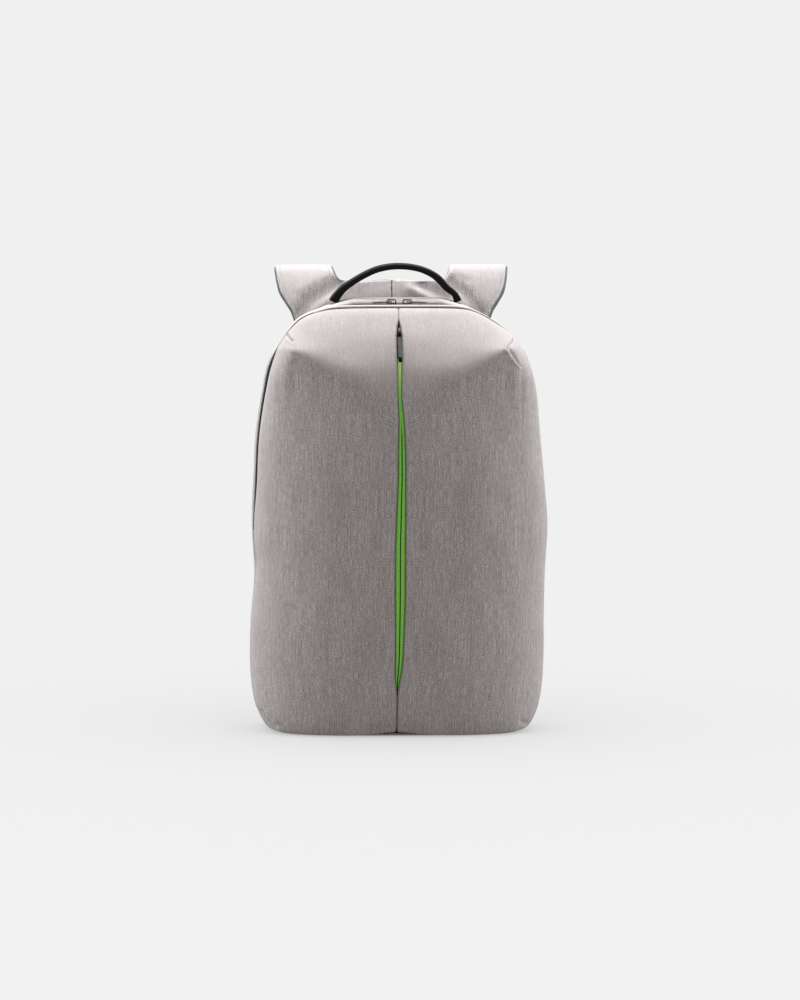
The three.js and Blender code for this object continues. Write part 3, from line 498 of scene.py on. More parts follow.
def pathRepeat(name, material):
    tree = bpy.data.node_groups.new(name, "GeometryNodeTree")
    face = tree.interface
    face.new_socket("Geometry", in_out="INPUT", socket_type="NodeSocketGeometry")
    for label, value in stitch.items():
        face.new_socket(label, in_out="INPUT", socket_type="NodeSocketFloat").default_value = value * mm
    face.new_socket("Geometry", in_out="OUTPUT", socket_type="NodeSocketGeometry")
    start = tree.nodes.new("NodeGroupInput")
    end = tree.nodes.new("NodeGroupOutput")
    curve = put(tree, "GeometryNodeMeshToCurve", {"Mesh": start.outputs["Geometry"]})
    run = {"Curve": curve.outputs[0], "Length": start.outputs["Spacing"]}
    steps = put(tree, "GeometryNodeResampleCurve", run, mode="LENGTH")
    points = put(tree, "GeometryNodeCurveToPoints", {"Curve": steps.outputs[0]}, mode="EVALUATED")
    outward = put(tree, "GeometryNodeInputNamedAttribute", {"Name": "outward"}, data_type="FLOAT_VECTOR")
    turned = put(tree, "FunctionNodeAlignRotationToVector", {"Vector": points.outputs["Tangent"]}, axis="X")
    lean = {"Rotation": turned.outputs[0], "Vector": outward.outputs[0]}
    turned = put(tree, "FunctionNodeAlignRotationToVector", lean, axis="Z", pivot_axis="X")
    bead = put(tree, "GeometryNodeMeshUVSphere", {"Segments": 6, "Rings": 4, "Radius": 0.5})
    sides = {axis: start.outputs[label] for axis, label in zip("XYZ", ("Length", "Width", "Height"))}
    size = put(tree, "ShaderNodeCombineXYZ", sides)
    beads = {"Points": points.outputs[0], "Instance": bead.outputs[0], "Rotation": turned.outputs[0],
             "Scale": size.outputs[0]}
    placed = put(tree, "GeometryNodeInstanceOnPoints", beads)
    solid = put(tree, "GeometryNodeRealizeInstances", {"Geometry": placed.outputs[0]})
    smooth = put(tree, "GeometryNodeSetShadeSmooth", {"Geometry": solid.outputs[0]})
    done = put(tree, "GeometryNodeSetMaterial", {"Geometry": smooth.outputs[0], "Material": material})
    tree.links.new(done.outputs[0], end.inputs[0])
    return tree


def repeatPiece(name, slot, tree, paths, sizes):
    points, edges, outward = [], [], []
    for path, normal in paths:
        first = len(points)
        points += (np.asarray(path) * mm).tolist()
        outward += np.asarray(normal).tolist()
        edges += [(k, k + 1) for k in range(first, len(points) - 1)]
    mesh = bpy.data.meshes.new(name)
    mesh.from_pydata(points, edges, [])
    mesh.attributes.new("outward", "FLOAT_VECTOR", "POINT").data.foreach_set("vector", np.ravel(outward))
    piece = addObject(name, mesh)
    repeat = piece.modifiers.new("repeat", "NODES")
    repeat.node_group = tree
    for item in tree.interface.items_tree:
        if item.in_out == "INPUT" and item.name in sizes:
            repeat[item.identifier] = sizes[item.name] * mm
    plainMesh(piece)
    settle(piece, slot)


# sizes of one stitch and of one tooth
stitch = {"Spacing": 3.2, "Length": 2.3, "Width": 0.7, "Height": 0.45}
tooth = {"Spacing": 1.5, "Length": 1.15, "Width": 2.3, "Height": 1.2}
greyStitch = pathRepeat("grey stitches", threadFinish)
blackStitch = pathRepeat("black stitches", blackThread)
coilTeeth = pathRepeat("coil teeth", coilFinish)


# front shell, in millimetres. sections: z, left, right, front, square; slit: z, half of its width;
# sway: z, x; crest: x, z, share, blur; crestOut: height above the crest, out; tuck: lift, width, height
front = {
    "sections": [(0, 124, 121, -60, 3.2), (4, 133.5, 131, -70, 3.1), (11, 138.5, 136, -75.5, 3),
        (23, 144.5, 141, -79.5, 2.9), (47, 148.5, 145.5, -82.5, 2.8), (105, 149.5, 147.5, -85, 2.6),
        (157, 145.5, 148.5, -85, 2.6), (208, 148, 151.5, -84.5, 2.6), (250, 146.2, 148.8, -83, 2.6),
        (298, 143.8, 144.5, -80, 2.7), (345, 137.2, 140, -74, 3.3), (370, 132, 134.8, -65, 4.7),
        (388, 123.8, 126, -53, 5.2), (404, 113.5, 112.5, -38.5, 4.8), (418, 100, 92.5, -21, 4.2),
        (428, 75.5, 72, -5, 3.6), (436, 45, 44, 14.7, 2.6)],
    "slit": [(0, 0.15), (36, 0.15), (44, 0.3), (50, 1), (57, 2.1), (66, 3.2), (78, 4), (98, 4.5),
        (119, 5), (140, 5.5), (180, 5.5), (220, 5), (241, 4.5), (262, 4.1), (282, 4), (302, 3.5), (322, 2.6),
        (342, 2.1), (370, 2.15), (404, 2.25), (412, 1.85), (415, 1), (419, 0.3), (422, 0.15), (436, 0.15)],
    "sway": [(0, -5), (30, -5), (57, -4.5), (78, -3.1), (98, -2.6), (139, -2), (200, -1.6), (220, -1),
        (241, -0.6), (262, 0), (282, 0), (322, -0.5), (342, -1.8), (362, -1.8), (378, -1.4), (404, -1.2),
        (418, -1), (430, -0.4), (436, 0)],
    "swayReach": 42, "slitTrim": (0.11, 0.21), "trimFrom": (0.15, 0.8), "rimY": 15, "rimHold": 12, "cloth": 2,
    "lipDeep": 3.5, "lipRound": 0.62, "lipFade": (0.6, 412, 421), "lipNarrow": 60,
    "brow": {-1: -110, 1: 105}, "browZ": 388, "browPush": 5, "browReach": (16, 12), "browPower": 1.5,
    "browWay": (0.45, 0.75, 0.45),
    "crestWay": (0.95, 0.3), "crestBlur": ((-1.3, 0.16), (-0.6, 0.22), (0, 0.24), (0.6, 0.22), (1.3, 0.16)),
    "crest": [(0, 354, 0, 18), (20, 358, 0, 18), (42, 368, 0.5, 16), (68, 377.5, 0.9, 12),
        (88, 383, 1, 6), (100, 385.5, 0.95, 1.5), (110, 386, 0.85, 0.5), (118, 380, 0.55, 1),
        (126, 373, 0.1, 2), (160, 360, 0, 2)],
    "crestOut": [(-170, 0), (-120, -1.6), (-80, -2.8), (-50, -3.1), (-38, -2.6), (-24, -0.4), (-12, 3.2),
        (-4, 6.1), (0, 6.8), (5, 5.8), (12, 3.1), (20, 0.6), (26, 0), (90, 0)],
    "tuck": (3.5, 26, 26), "rows": 300, "rowCrowd": (0.05, 2.2), "columns": 128,
    "columnCrowd": (0.64, 0.13, 1.6), "lumps": ((70, 0.9), (26, 0.35)), "lumpSeed": 3.1,
    "calmX": (4, 22), "calmZ": ((0, 14), (418, 432)), "calmRim": 0.12, "foldRim": 0.03,
}
# columns beside the slit, by their distance from its edge
lipSteps = np.array([0, 0.12, 0.26, 0.45, 0.7, 1.0, 1.4, 1.9, 2.6, 3.5, 4.7, 6.2, 8.2, 10.8])
# how far the edges at the main zip lie inside the outline: left, right, at the shoulders, at the top, and
# how far the left gapes; then the heights between which they change. hidden: how far the band draws back
insets = {"front": (2.4, 0.6, 1.4, 6.4, 0.9), "zipFront": (3.0, 1.6, 2.0, 5.6, 0.9),
          "zipRear": (1.2, 2.4, 1.2, 5.6, 0), "band": (0.6, 2.8, 0.8, 4.6, 0),
          "leftZ": (386, 426), "rightZ": (340, 392), "topZ": (426.5, 436), "gapeZ": 366, "gapeReach": 22,
          "hiddenRight": 3.0, "hiddenRightZ": (350, 400), "hiddenShoulder": 1.8,
          "hiddenShoulderZ": ((375, 400), (424, 435))}
# heights at which the gap for the main zip, its tape and its teeth begin
zipSpan = {"start": 190, "open": 226, "tape": 202, "teeth": 216}


def zipOpening(z):
    return smoothStep(z, zipSpan["start"], zipSpan["open"])


def insetAt(name, z, x):
    left, right, shoulder, top, gape = insets[name]
    beside = np.where(x < 0, left, right) * zipOpening(z)
    upper = np.where(x < 0, smoothStep(z, *insets["leftZ"]), smoothStep(z, *insets["rightZ"]))
    low = beside + (shoulder - beside) * upper
    low = low + gape * (x < 0) * hump(z - insets["gapeZ"], insets["gapeReach"])
    return low + (top - low) * smoothStep(z, *insets["topZ"])


def hiddenAt(x, z):
    beside = (x > 0) * zipOpening(z) * (1 - smoothStep(z, *insets["hiddenRightZ"]))
    shoulder = upAndDown(z, insets["hiddenShoulderZ"])
    return insets["hiddenRight"] * beside + insets["hiddenShoulder"] * shoulder


def drawnIn(rows):
    ends = np.vstack([rows[:1], rows, rows[-1:]])
    step = ends[2:] - ends[:-2]
    slope = np.arctan2(-step[:, 1], step[:, 0])
    slope[-1] = math.pi / 2
    left, right = insetAt("front", rows[:, 0], -1), insetAt("front", rows[:, 0], 1)
    inward = rows.copy()
    inward[:, 0] -= (left + right) / 2 * np.sin(slope)
    inward[:, 1] -= left * np.cos(slope)
    inward[:, 2] -= right * np.cos(slope)
    return inward


outlineRows = np.array(front["sections"], float)
frontRows = drawnIn(outlineRows)
frontPlaces = lengthsAlong(frontRows[:, :2])


def sectionAt(places):
    return curveThrough(frontPlaces, frontRows, places)


def shellColumns(places, side):
    section = sectionAt(places)[:, :, None]
    return section[:, 0], section[:, 1 if side < 0 else 2], section[:, 3], section[:, 4]


def placeAt(height, samples=4000):
    dense = np.linspace(0, frontPlaces[-1], samples)
    return float(np.interp(height, sectionAt(dense)[:, 0], dense))


def slitAt(z):
    table = np.array(front["slit"])
    return np.interp(z, table[:, 0], table[:, 1])


def frontY(x, half, depth, square):
    return front["rimY"] - (front["rimY"] - depth) * (1 - (x / half) ** square) ** (1 / square)


def centreNormal(places):
    before, after = sectionAt(places - 0.5), sectionAt(places + 0.5)
    return unit(joined(0.0, before[:, 0] - after[:, 0], after[:, 3] - before[:, 3]))


def swayed(points):
    shift = curveOf(front["sway"], points[..., 2].ravel()).reshape(points.shape[:-1])
    moved = points.copy()
    moved[..., 0] += shift * hump(points[..., 0], front["swayReach"])
    return moved


def dressFront(points, side):
    reachX, reachZ = front["browReach"]
    aside = (np.abs(points[..., 0] - front["brow"][side]) / reachX) ** front["browPower"]
    aloft = (np.abs(points[..., 2] - front["browZ"]) / reachZ) ** front["browPower"]
    peak = front["browPush"] * np.exp(-aside - aloft)
    line = curveOf(front["crest"], np.abs(points[..., 0]).ravel())
    above = points[..., 2].ravel() - line[:, 0]
    out = sum(share * curveOf(front["crestOut"], above + move * line[:, 2])[:, 0]
              for move, share in front["crestBlur"]) * line[:, 1]
    out = out.reshape(peak.shape)
    # the edge stays at the zip
    hold = smoothStep(front["rimY"] - points[..., 1], 0, front["rimHold"])
    browSide, browFront, browUp = front["browWay"]
    crestFront, crestUp = front["crestWay"]
    points = points.copy()
    points[..., 0] += browSide * side * peak
    points[..., 1] -= (browFront * peak + crestFront * out) * hold
    points[..., 2] += browUp * peak + crestUp * out
    lift, wide, high = front["tuck"]
    points[..., 2] += lift * np.clip(1 - points[..., 2] / high, 0, None) * hump(points[..., 0], wide)
    return swayed(points)


# folds pressed into the shell: side, points in x and z, width, height
folds = [
    (-1, [(-110, 388), (-115, 372), (-117, 345)], 5.0, 1.0),
    (-1, [(-115, 403), (-109.6, 399.6)], 1.2, -2.2),
    (-1, [(-123.5, 389), (-115, 401.5)], 1.0, -1.0),
    (-1, [(-113, 399), (-110, 396.5)], 2.2, 0.9),
    (1, [(115.5, 398.5), (109.2, 394.3), (108.3, 392.6)], 1.1, -1.6),
    (1, [(108.3, 392.6), (113.3, 384.8), (120.8, 373.7)], 1.4, -1.5),
    (1, [(105.5, 391), (110.2, 383.2), (114.4, 377.6), (119.8, 372)], 2.0, 1.5),
    (1, [(121.5, 390), (122.5, 370), (123, 318)], 2.0, -0.6),
    (1, [(114, 372), (115, 345)], 5.0, 0.8),
    (-1, [(-140, 21), (-134, 14), (-127, 8)], 2.0, -4.2),
    (-1, [(-135, 22), (-126, 13)], 2.4, 2.4),
    (1, [(123, 12), (129.5, 8)], 2.2, -2.2),
    (-1, [(-148, 176), (-120, 150)], 9.0, -1.6),
    (1, [(150, 120), (128, 140)], 12.0, -0.9),
]


def foldHeights(points, side, lines):
    total = np.zeros(points.shape[:-1])
    flat = points[..., [0, 2]]
    for foldSide, line, wide, high in lines:
        if foldSide != side:
            continue
        near = np.full(points.shape[:-1], np.inf)
        for start, end in zip(np.array(line[:-1], float), np.array(line[1:], float)):
            run = end - start
            t = np.clip(((flat - start) @ run) / (run @ run), 0, 1)
            near = np.minimum(near, np.linalg.norm(flat - start - t[..., None] * run, axis=-1))
        total += high * hump(near, wide)
    return total


def frontGrid(side):
    whole = frontPlaces[-1]
    places = whole * crowded(front["rows"], placeAt(front["browZ"]) / whole, *front["rowCrowd"])
    z, half, depth, square = shellColumns(places, side)
    slit = slitAt(z)
    less, more = front["slitTrim"]
    slit = slit - less + more * smoothStep(slit, *front["trimFrom"])
    # the columns beside the slit close up towards the narrow top
    lipX = slit + lipSteps * np.minimum(1, half / front["lipNarrow"])
    lip = joined(side * lipX, frontY(lipX, half, depth, square), z)
    edge = lipX[:, -1:] / half
    first = np.arctan2(edge, (1 - edge ** square) ** (1 / square))
    angle = first + (math.pi / 2 - first) * crowded(front["columns"] + 1, *front["columnCrowd"])[1:]
    sine, cosine = np.sin(angle), np.clip(np.cos(angle), 0, None)
    reach = (sine ** square + cosine ** square) ** (-1 / square)
    rest = joined(side * half * reach * sine, front["rimY"] - (front["rimY"] - depth) * reach * cosine, z)
    fade, low, high = front["lipFade"]
    deep = front["lipDeep"] * (1 - fade * smoothStep(z, low, high))
    fall = np.concatenate([np.exp(-lipSteps / front["lipRound"]), np.zeros(front["columns"])])
    turnIn = -centreNormal(places)[:, None, :] * (deep * fall)[..., None]
    return dressFront(np.concatenate([lip, rest], axis=1), side), turnIn


def frontShell(side, name):
    grid, turnIn = frontGrid(side)
    outward = gridNormals(grid) * -side
    toRim = 1 - np.linspace(0, 1, grid.shape[1])
    calm = upAndDown(grid[..., 2], front["calmZ"]) * smoothStep(np.abs(grid[..., 0]), *front["calmX"])
    calm = calm * smoothStep(toRim, 0, front["calmRim"])
    lumps = sum(high * wobble(grid, size, front["lumpSeed"] + side) for size, high in front["lumps"])
    plain = grid + outward * (lumps * calm)[..., None] + turnIn
    press = (foldHeights(grid, side, folds) * smoothStep(toRim, 0, front["foldRim"]))[..., None]
    outer = plain + outward * press
    inner = plain + outward * np.minimum(0, press) + gridNormals(plain) * (side * front["cloth"])
    wallPiece("front_shell_" + name, "front_panel_" + name, "cloth", outer, inner, gridLengths(grid),
              [clothFinish])


bothSides(frontShell)
print("front shell made")


# green zip behind the slit, with a fine line at the middle
frontTape = {"fromZ": 30, "toZ": 424, "thick": 1.2, "deep": 4.7, "rows": 200, "bulge": 2.3,
             "bulgeSlit": (0.4, 1.6), "bulgeEdge": (0.68, 0.8), "bulgeEnd": (396, 404),
             "line": 0.35, "lineWide": 0.4, "lineEnd": (300, 322),
             "across": (0.06, 0.3, 0.6, 1, 1.4, 1.8, 2.3, 2.8, 3.4, 4, 4.7, 5.4, 6.2, 7.5, 11)}


def frontZipTape(side, name):
    places = np.linspace(placeAt(frontTape["fromZ"]), placeAt(frontTape["toZ"]), frontTape["rows"])
    z, half, depth, square = shellColumns(places, side)
    x = np.array(frontTape["across"])[None, :]
    grid = joined(side * x, frontY(x, half, depth, square), z)
    grid = swayed(grid) - centreNormal(places)[:, None, :] * frontTape["deep"]
    slit = slitAt(z)
    share, least = frontTape["bulgeEdge"]
    rise = smoothStep(slit, *frontTape["bulgeSlit"]) * (1 - smoothStep(z, *frontTape["bulgeEnd"]))
    rise = frontTape["bulge"] * rise * (1 - smoothStep(x, slit * share, np.maximum(slit, least)))
    line = frontTape["line"] * hump(x - x[0, 0], frontTape["lineWide"])
    line = line * (1 - smoothStep(z, *frontTape["lineEnd"]))
    normal = gridNormals(grid) * -side
    outer = grid + normal * (rise - line)[..., None]
    inner = grid + normal * (rise - frontTape["thick"])[..., None]
    wallPiece("green_tape_" + name, "front_zip_tape_" + name, "green_tape", outer, inner, gridLengths(grid),
              [greenFinish])


bothSides(frontZipTape)
print("green zip made")


# outline of the bag at the main zip, and the cloth behind it. shape: share from front to back, inset
arch = {"steps": 260, "topSteps": 24, "zipWide": 9, "gap": 0.3, "backY": 68, "tape": 1.4, "teethUp": 0.35,
        "teethApart": 0.75, "zipColumns": 9}
band = {"shape": [(0, 0), (0.24, -0.2), (0.65, -0.1), (0.88, 2), (1, 6)], "columns": 22, "curlPower": 4,
        "lumpSize": 45, "lumpSeed": 8.3, "lump": 0.6, "calm": ((0, 0.15), (0.7, 0.9)),
        "calmZ": ((6, 30), (432, 436))}


def archOutline():
    section = evenlyAlong(outlineRows, arch["steps"])
    rise = joined(-section[:, 1], section[:, 0])
    fall = joined(section[:, 2], section[:, 0])[::-1]
    share = np.linspace(0, 1, arch["topSteps"] + 1)[1:-1, None]
    line = np.vstack([rise, rise[-1] * (1 - share) + fall[0] * share, fall])
    along = unit(np.gradient(line, axis=0))
    return line, joined(-along[:, 1], along[:, 0])


archLine, archOut = archOutline()
archX, archZ = archLine[:, :1], archLine[:, 1:]
gussetEdge = front["rimY"] + arch["gap"] + arch["zipWide"] * zipOpening(archZ)


def archPoints(inset, y):
    return joined(archX - archOut[:, :1] * inset, y, np.maximum(0, archZ - archOut[:, 1:] * inset))


def rearGusset():
    shares = np.linspace(0, 1, band["columns"])
    inset = curveOf(band["shape"], shares)[:, 0]
    # the front edge curls in towards the zip
    curl = np.clip(1 - shares / band["shape"][1][0], 0, 1) ** band["curlPower"]
    turn, hidden = insetAt("band", archZ, archX), hiddenAt(archX, archZ)
    columns = [archPoints(i + hidden + (turn - hidden) * c, gussetEdge + (arch["backY"] - gussetEdge) * s)
               for s, i, c in zip(shares, inset, curl)]
    grid = np.concatenate(columns, axis=1)
    normal = gridNormals(grid)
    normal = normal * np.sign(normal[len(normal) // 2, 0, 2])
    calm = upAndDown(shares, band["calm"]) * upAndDown(archZ, band["calmZ"])
    lumps = wobble(grid, band["lumpSize"], band["lumpSeed"]) * band["lump"]
    outer = grid + normal * (lumps * calm)[..., None]
    uv = gridLengths(np.swapaxes(grid, 0, 1)).swapaxes(0, 1)
    wallPiece("rear_band", "rear_gusset", "cloth", outer, outer - normal * front["cloth"], uv, [clothFinish])


def mainZip():
    keep = np.where(archLine[:, 1] > zipSpan["tape"])[0]
    start, end = front["rimY"] + 2 * arch["gap"], gussetEdge - arch["gap"]
    near, far = (insetAt(name, archZ, archX) for name in ("zipFront", "zipRear"))
    shares = np.linspace(0, 1, arch["zipColumns"])
    columns = [archPoints(near + (far - near) * s, start + (end - start) * s) for s in shares]
    grid = np.concatenate(columns, axis=1)[keep]
    normal = joined(archOut[:, 0], 0.0, archOut[:, 1])[keep]
    inner = grid - normal[:, None, :] * arch["tape"]
    wallPiece("main_zip_tape_cloth", "main_zip_tape", "black_tape", grid, inner, gridLengths(grid),
              [zipFinish])
    run = np.where(archLine[keep, 1] > zipSpan["teeth"])[0]
    middle = grid[run, len(shares) // 2] + normal[run] * arch["teethUp"]
    rows = [(middle + np.array([0, side * arch["teethApart"], 0]), normal[run]) for side in (-1, 1)]
    repeatPiece("main_zip_teeth", "black_tape", coilTeeth, rows, tooth)


rearGusset()
mainZip()
print("rear band and main zip made")


# rolled welt over the front edge of the zip
welt = {"fromX": -86, "toX": 82, "y": 9.6, "wide": 5.6, "high": 2.3, "gap": 0.3, "corner": 1.1,
        "cornerSteps": 5, "stations": 150, "taper": (0.12, 5), "facetZ": 380}


def facetHeights(xs, y, samples=500):
    section = sectionAt(np.linspace(placeAt(welt["facetZ"]), frontPlaces[-1], samples))
    z, square = section[:, 0], section[:, 4]
    ratio = np.abs((front["rimY"] - y) / (front["rimY"] - section[:, 3]))
    found = []
    for x in xs:
        outside = (abs(x) / section[:, 1 if x < 0 else 2]) ** square + ratio ** square - 1
        k = int(np.argmax(outside > 0)) or len(z) - 1
        t = -outside[k - 1] / (outside[k] - outside[k - 1])
        found.append(z[k - 1] + (z[k] - z[k - 1]) * t)
    return np.array(found)


def topWelt():
    xs = np.linspace(welt["fromX"], welt["toX"], welt["stations"])
    z = facetHeights(xs, welt["y"])
    slopeY = facetHeights(xs, welt["y"] + 0.5) - facetHeights(xs, welt["y"] - 0.5)
    normal = unit(joined(-np.gradient(z, xs), -slopeY, 1.0))
    path = joined(xs, welt["y"], z)
    share = np.linspace(0, 1, len(xs))
    least, gain = welt["taper"]
    taper = np.sqrt(np.minimum(1, least + gain * np.minimum(share, 1 - share)))
    across = unit(np.cross(normal, unit(np.gradient(path, axis=0))))
    high = welt["high"] * taper
    path = path + normal * (welt["gap"] + high / 2)[:, None]
    loops, uv = sweepLoops(path, across, normal, welt["wide"] * taper, high, welt["corner"],
                           welt["cornerSteps"])
    tubePiece("top_welt_roll", "top_welt", "cloth", loops, uv[..., ::-1], clothFinish)


topWelt()
print("welt made")


# flat bottom
base = {"bevel": 0.9}


def basePanel():
    piece = cadCopy("bottom_cloth", "base_panel", "cloth", clothFinish, base["bevel"])
    layer = piece.data.uv_layers.new(name="weave")
    for loop in piece.data.loops:
        layer.data[loop.index].uv = piece.data.vertices[loop.vertex_index].co.xy


basePanel()
print("bottom made")


# padded back with sewn channels. channel: the reach of one that is 9 wide
back = {"inset": 6.5, "thick": 11, "thin": 2.0, "edge": 14, "channel": 9 / 2.6, "channelDeep": 5, "rows": 150,
        "columns": 96, "columnCrowd": 0.5, "spine": 15, "spineFade": 5, "cross": (128, 262), "crossBend": 10,
        "crossHalf": 130, "sewnEdge": (4, 18), "footZ": (10, 60), "binding": 6}
backFace = arch["backY"] + arch["gap"]


def backPad():
    steps = arch["steps"]
    line = archLine - archOut * back["inset"]
    rows = np.linspace(0, 1, back["rows"]) * (steps - 1)
    sides = (line[:steps, 1], archLine[:steps, 1], line[:steps, 0], line[:-steps - 1:-1, 0])
    inZ, outZ, lowX, highX = (np.interp(rows, np.arange(steps), side)[:, None] for side in sides)
    foot = 1 - smoothStep(inZ, *back["footZ"])
    x = lowX + (highX - lowX) * crowdedEnds(back["columns"], back["columnCrowd"])
    z = np.repeat(inZ * (1 - foot) + outZ * foot, back["columns"], 1)
    edge = np.minimum.reduce([x - lowX, highX - x, z - z.min() + 1, z.max() - z])
    crown = np.sqrt(np.clip(1 - (1 - np.clip(edge / back["edge"], 0, 1)) ** 2, 0, 1))
    groove = hump(np.abs(x) - back["spine"], back["channel"])
    beside = smoothStep(np.abs(x), back["spine"], back["spine"] + back["spineFade"])
    for level in back["cross"]:
        bend = level + back["crossBend"] * (1 - (x / back["crossHalf"]) ** 2)
        groove = np.maximum(groove, hump(z - bend, back["channel"]) * beside)
    groove = groove * smoothStep(edge, *back["sewnEdge"])
    rise = back["thin"] + (back["thick"] - back["thin"] - back["channelDeep"] * groove) * crown
    outer, inner = joined(x, backFace + rise, z), joined(x, backFace, z)
    bound = (edge[:-1, :-1] < back["binding"]).astype(int)
    piece = wallPiece("back_pad", "back_panel", "back_mesh", outer, inner, joined(x, z),
                      [meshFinish, bindingFinish], (0, 0, 1), np.stack([bound, bound]))


backPad()
print("back pad made")


# padded straps with their half of the yoke. rows: inX inY inZ outX outY outZ thick
strap = {
    "rows": [(0.15, 82.9, 392, 92, 82.9, 384, 6.4), (0.15, 84.2, 420, 97, 83, 400, 6.8),
        (0.15, 98, 449, 100.5, 83.6, 412, 7), (27, 98, 449, 103.5, 84.5, 420, 8),
        (50, 98.6, 449.6, 108.5, 87.5, 428, 9), (55, 101, 452.5, 114.5, 93, 438, 10),
        (57.5, 104.5, 457, 117.5, 100.5, 449.4, 10), (59, 109, 459.6, 118.5, 107, 456.8, 10),
        (59.5, 114.5, 460.4, 119, 114.5, 460.2, 10), (59.5, 120.5, 456.6, 118, 120.5, 455.6, 10),
        (58.5, 124.5, 446, 115, 124.5, 444, 10), (52, 125.5, 420, 99, 125.5, 417, 10),
        (50.5, 124.5, 370, 98.5, 124.5, 367, 10), (58, 121.5, 315, 104, 121.5, 313, 10),
        (68, 117, 262, 110, 117, 261, 9.5), (78, 111.8, 212, 114.5, 111.8, 212, 9),
        (85, 107, 182, 115.5, 107, 182, 7), (88, 105, 168.6, 114, 105, 168.6, 4.4)],
    "shift": -4, "steps": 12, "columns": 48, "binding": {-1: (2.6, 1.0), 1: (0.8, 1.8)}, "bindingBack": 5.0,
    "columnCrowd": 0.55, "leastStep": 6, "seam": 1.5, "seamGap": (0.05, 0.1), "thinEdge": 0.16,
    "edgePower": 14, "creaseY": 106, "creaseEdge": 0.08, "sharp": 70, "stitchIn": 5.0, "stitchUp": 0.08,
    "stitchRow": 4, "stitchEnd": 4,
}
# creases on the cloth face: side, points in x and z, width, height
strapCreases = [
    (-1, [(-59, 447), (-77, 437), (-91, 428), (-99, 417), (-104, 404)], 6.0, -6.0),
    (-1, [(-70, 429), (-84, 420), (-92, 412)], 4.5, 1.6),
    (-1, [(-66, 452), (-84, 447), (-96, 440)], 6.0, 1.0),
    (1, [(57, 446), (69, 438), (79, 429), (86, 418)], 5.5, -6.0),
    (1, [(26, 446), (54, 434)], 5.0, -4.6),
    (1, [(14, 440), (48, 424)], 5.0, 2.4),
    (1, [(64, 452), (74, 447)], 3.0, -0.8),
]


def strapGrid(side):
    rows = np.array(strap["rows"], float)
    step = np.linalg.norm(np.diff((rows[:, :3] + rows[:, 3:6]) / 2, axis=0), axis=1)
    places = np.concatenate([[0], np.cumsum(np.maximum(strap["leastStep"], step))])
    order = np.arange(len(rows))
    fine = np.interp(np.linspace(0, order[-1], order[-1] * strap["steps"] + 1), order, places)
    row = curveThrough(places, rows, fine)
    share = crowdedEnds(strap["columns"], strap["columnCrowd"])
    grid = row[:, None, :3] * (1 - share)[:, None] + row[:, None, 3:6] * share[:, None]
    least, trim = strap["seamGap"]
    grid[..., 0] = strap["shift"] + side * np.maximum(least, grid[..., 0] - trim)
    return grid, row[:, 6:], share


def shoulderStrap(side, name):
    grid, thick, share = strapGrid(side)
    normal = gridNormals(grid) * -side
    seam = np.abs(grid[:, :1, 0] - strap["shift"]) < strap["seam"]
    edge = np.sqrt(np.maximum(strap["thinEdge"], 1 - np.abs(2 * share - 1) ** strap["edgePower"]))
    half = thick / 2 * np.where(seam & (share < 0.5), 1.0, edge)
    near = smoothStep(np.minimum(share, 1 - share), 0, strap["creaseEdge"])
    crease = foldHeights(grid, side, strapCreases) * (grid[..., 1] < strap["creaseY"]) * near
    outer, inner = grid + normal * (half + crease)[..., None], grid - normal * half[..., None]
    uv = joined(grid[..., 0], grid[:1, :, 2] + lengthsAlong(grid[..., 1:]))
    fromIn = lengthsAlong(grid, 1)
    fromOut = fromIn[:, -1:] - fromIn

    def bound(inside, outside):
        return ((fromOut < outside) | ((fromIn < inside) & ~seam))[:-1, 1:]

    behind = strap["bindingBack"]
    pick = np.stack([2 * bound(*strap["binding"][side]), 1 + bound(behind, behind)])
    finishes = [clothFinish, meshFinish, bindingFinish]
    piece = wallPiece("strap_pad_" + name, "shoulder_strap_" + name, "cloth", outer, inner, uv, finishes,
                      (0, 1, 2), pick)
    # the rim along the centre seam is cloth
    for k in np.where(seam[:-1, 0])[0][:-2]:
        piece.data.polygons[pick.size + int(k)].material_index = 0
    piece.data.set_sharp_from_angle(angle=math.radians(strap["sharp"]))
    spots = np.arange(strap["stitchRow"] * strap["steps"], len(grid) - strap["stitchEnd"])
    rows = []
    for ends in (fromIn, fromOut):
        column = int(np.median(np.argmin(np.abs(ends - strap["stitchIn"]), axis=1)[spots]))
        facing = normal[spots, column]
        rows.append((outer[spots, column] + facing * strap["stitchUp"], facing))
    repeatPiece("strap_stitches_" + name, "cloth", greyStitch, rows, stitch)


bothSides(shoulderStrap)
print("straps made")


# webbing handle from foot to foot. rows: x z thick
handle = {
    "rows": [(-63, 433, 8.8), (-59, 439, 7.8), (-53.4, 445.4, 6.8), (-44, 452.2, 5.9), (-33, 458.8, 5.7),
        (-18, 465.4, 5.6), (2, 468.4, 5.5), (23, 466, 5.6), (36.5, 460.6, 6.2), (44.5, 454.6, 6.9),
        (51.5, 446.8, 6.6), (60.2, 439.7, 6), (63.5, 433, 8)],
    "wide": 20, "shift": -2, "y": 46, "corner": 1.8, "stations": 120, "footUp": 1.5, "stitchApart": 7,
    "stitchEnd": 3,
}
stitchLift = 0.05


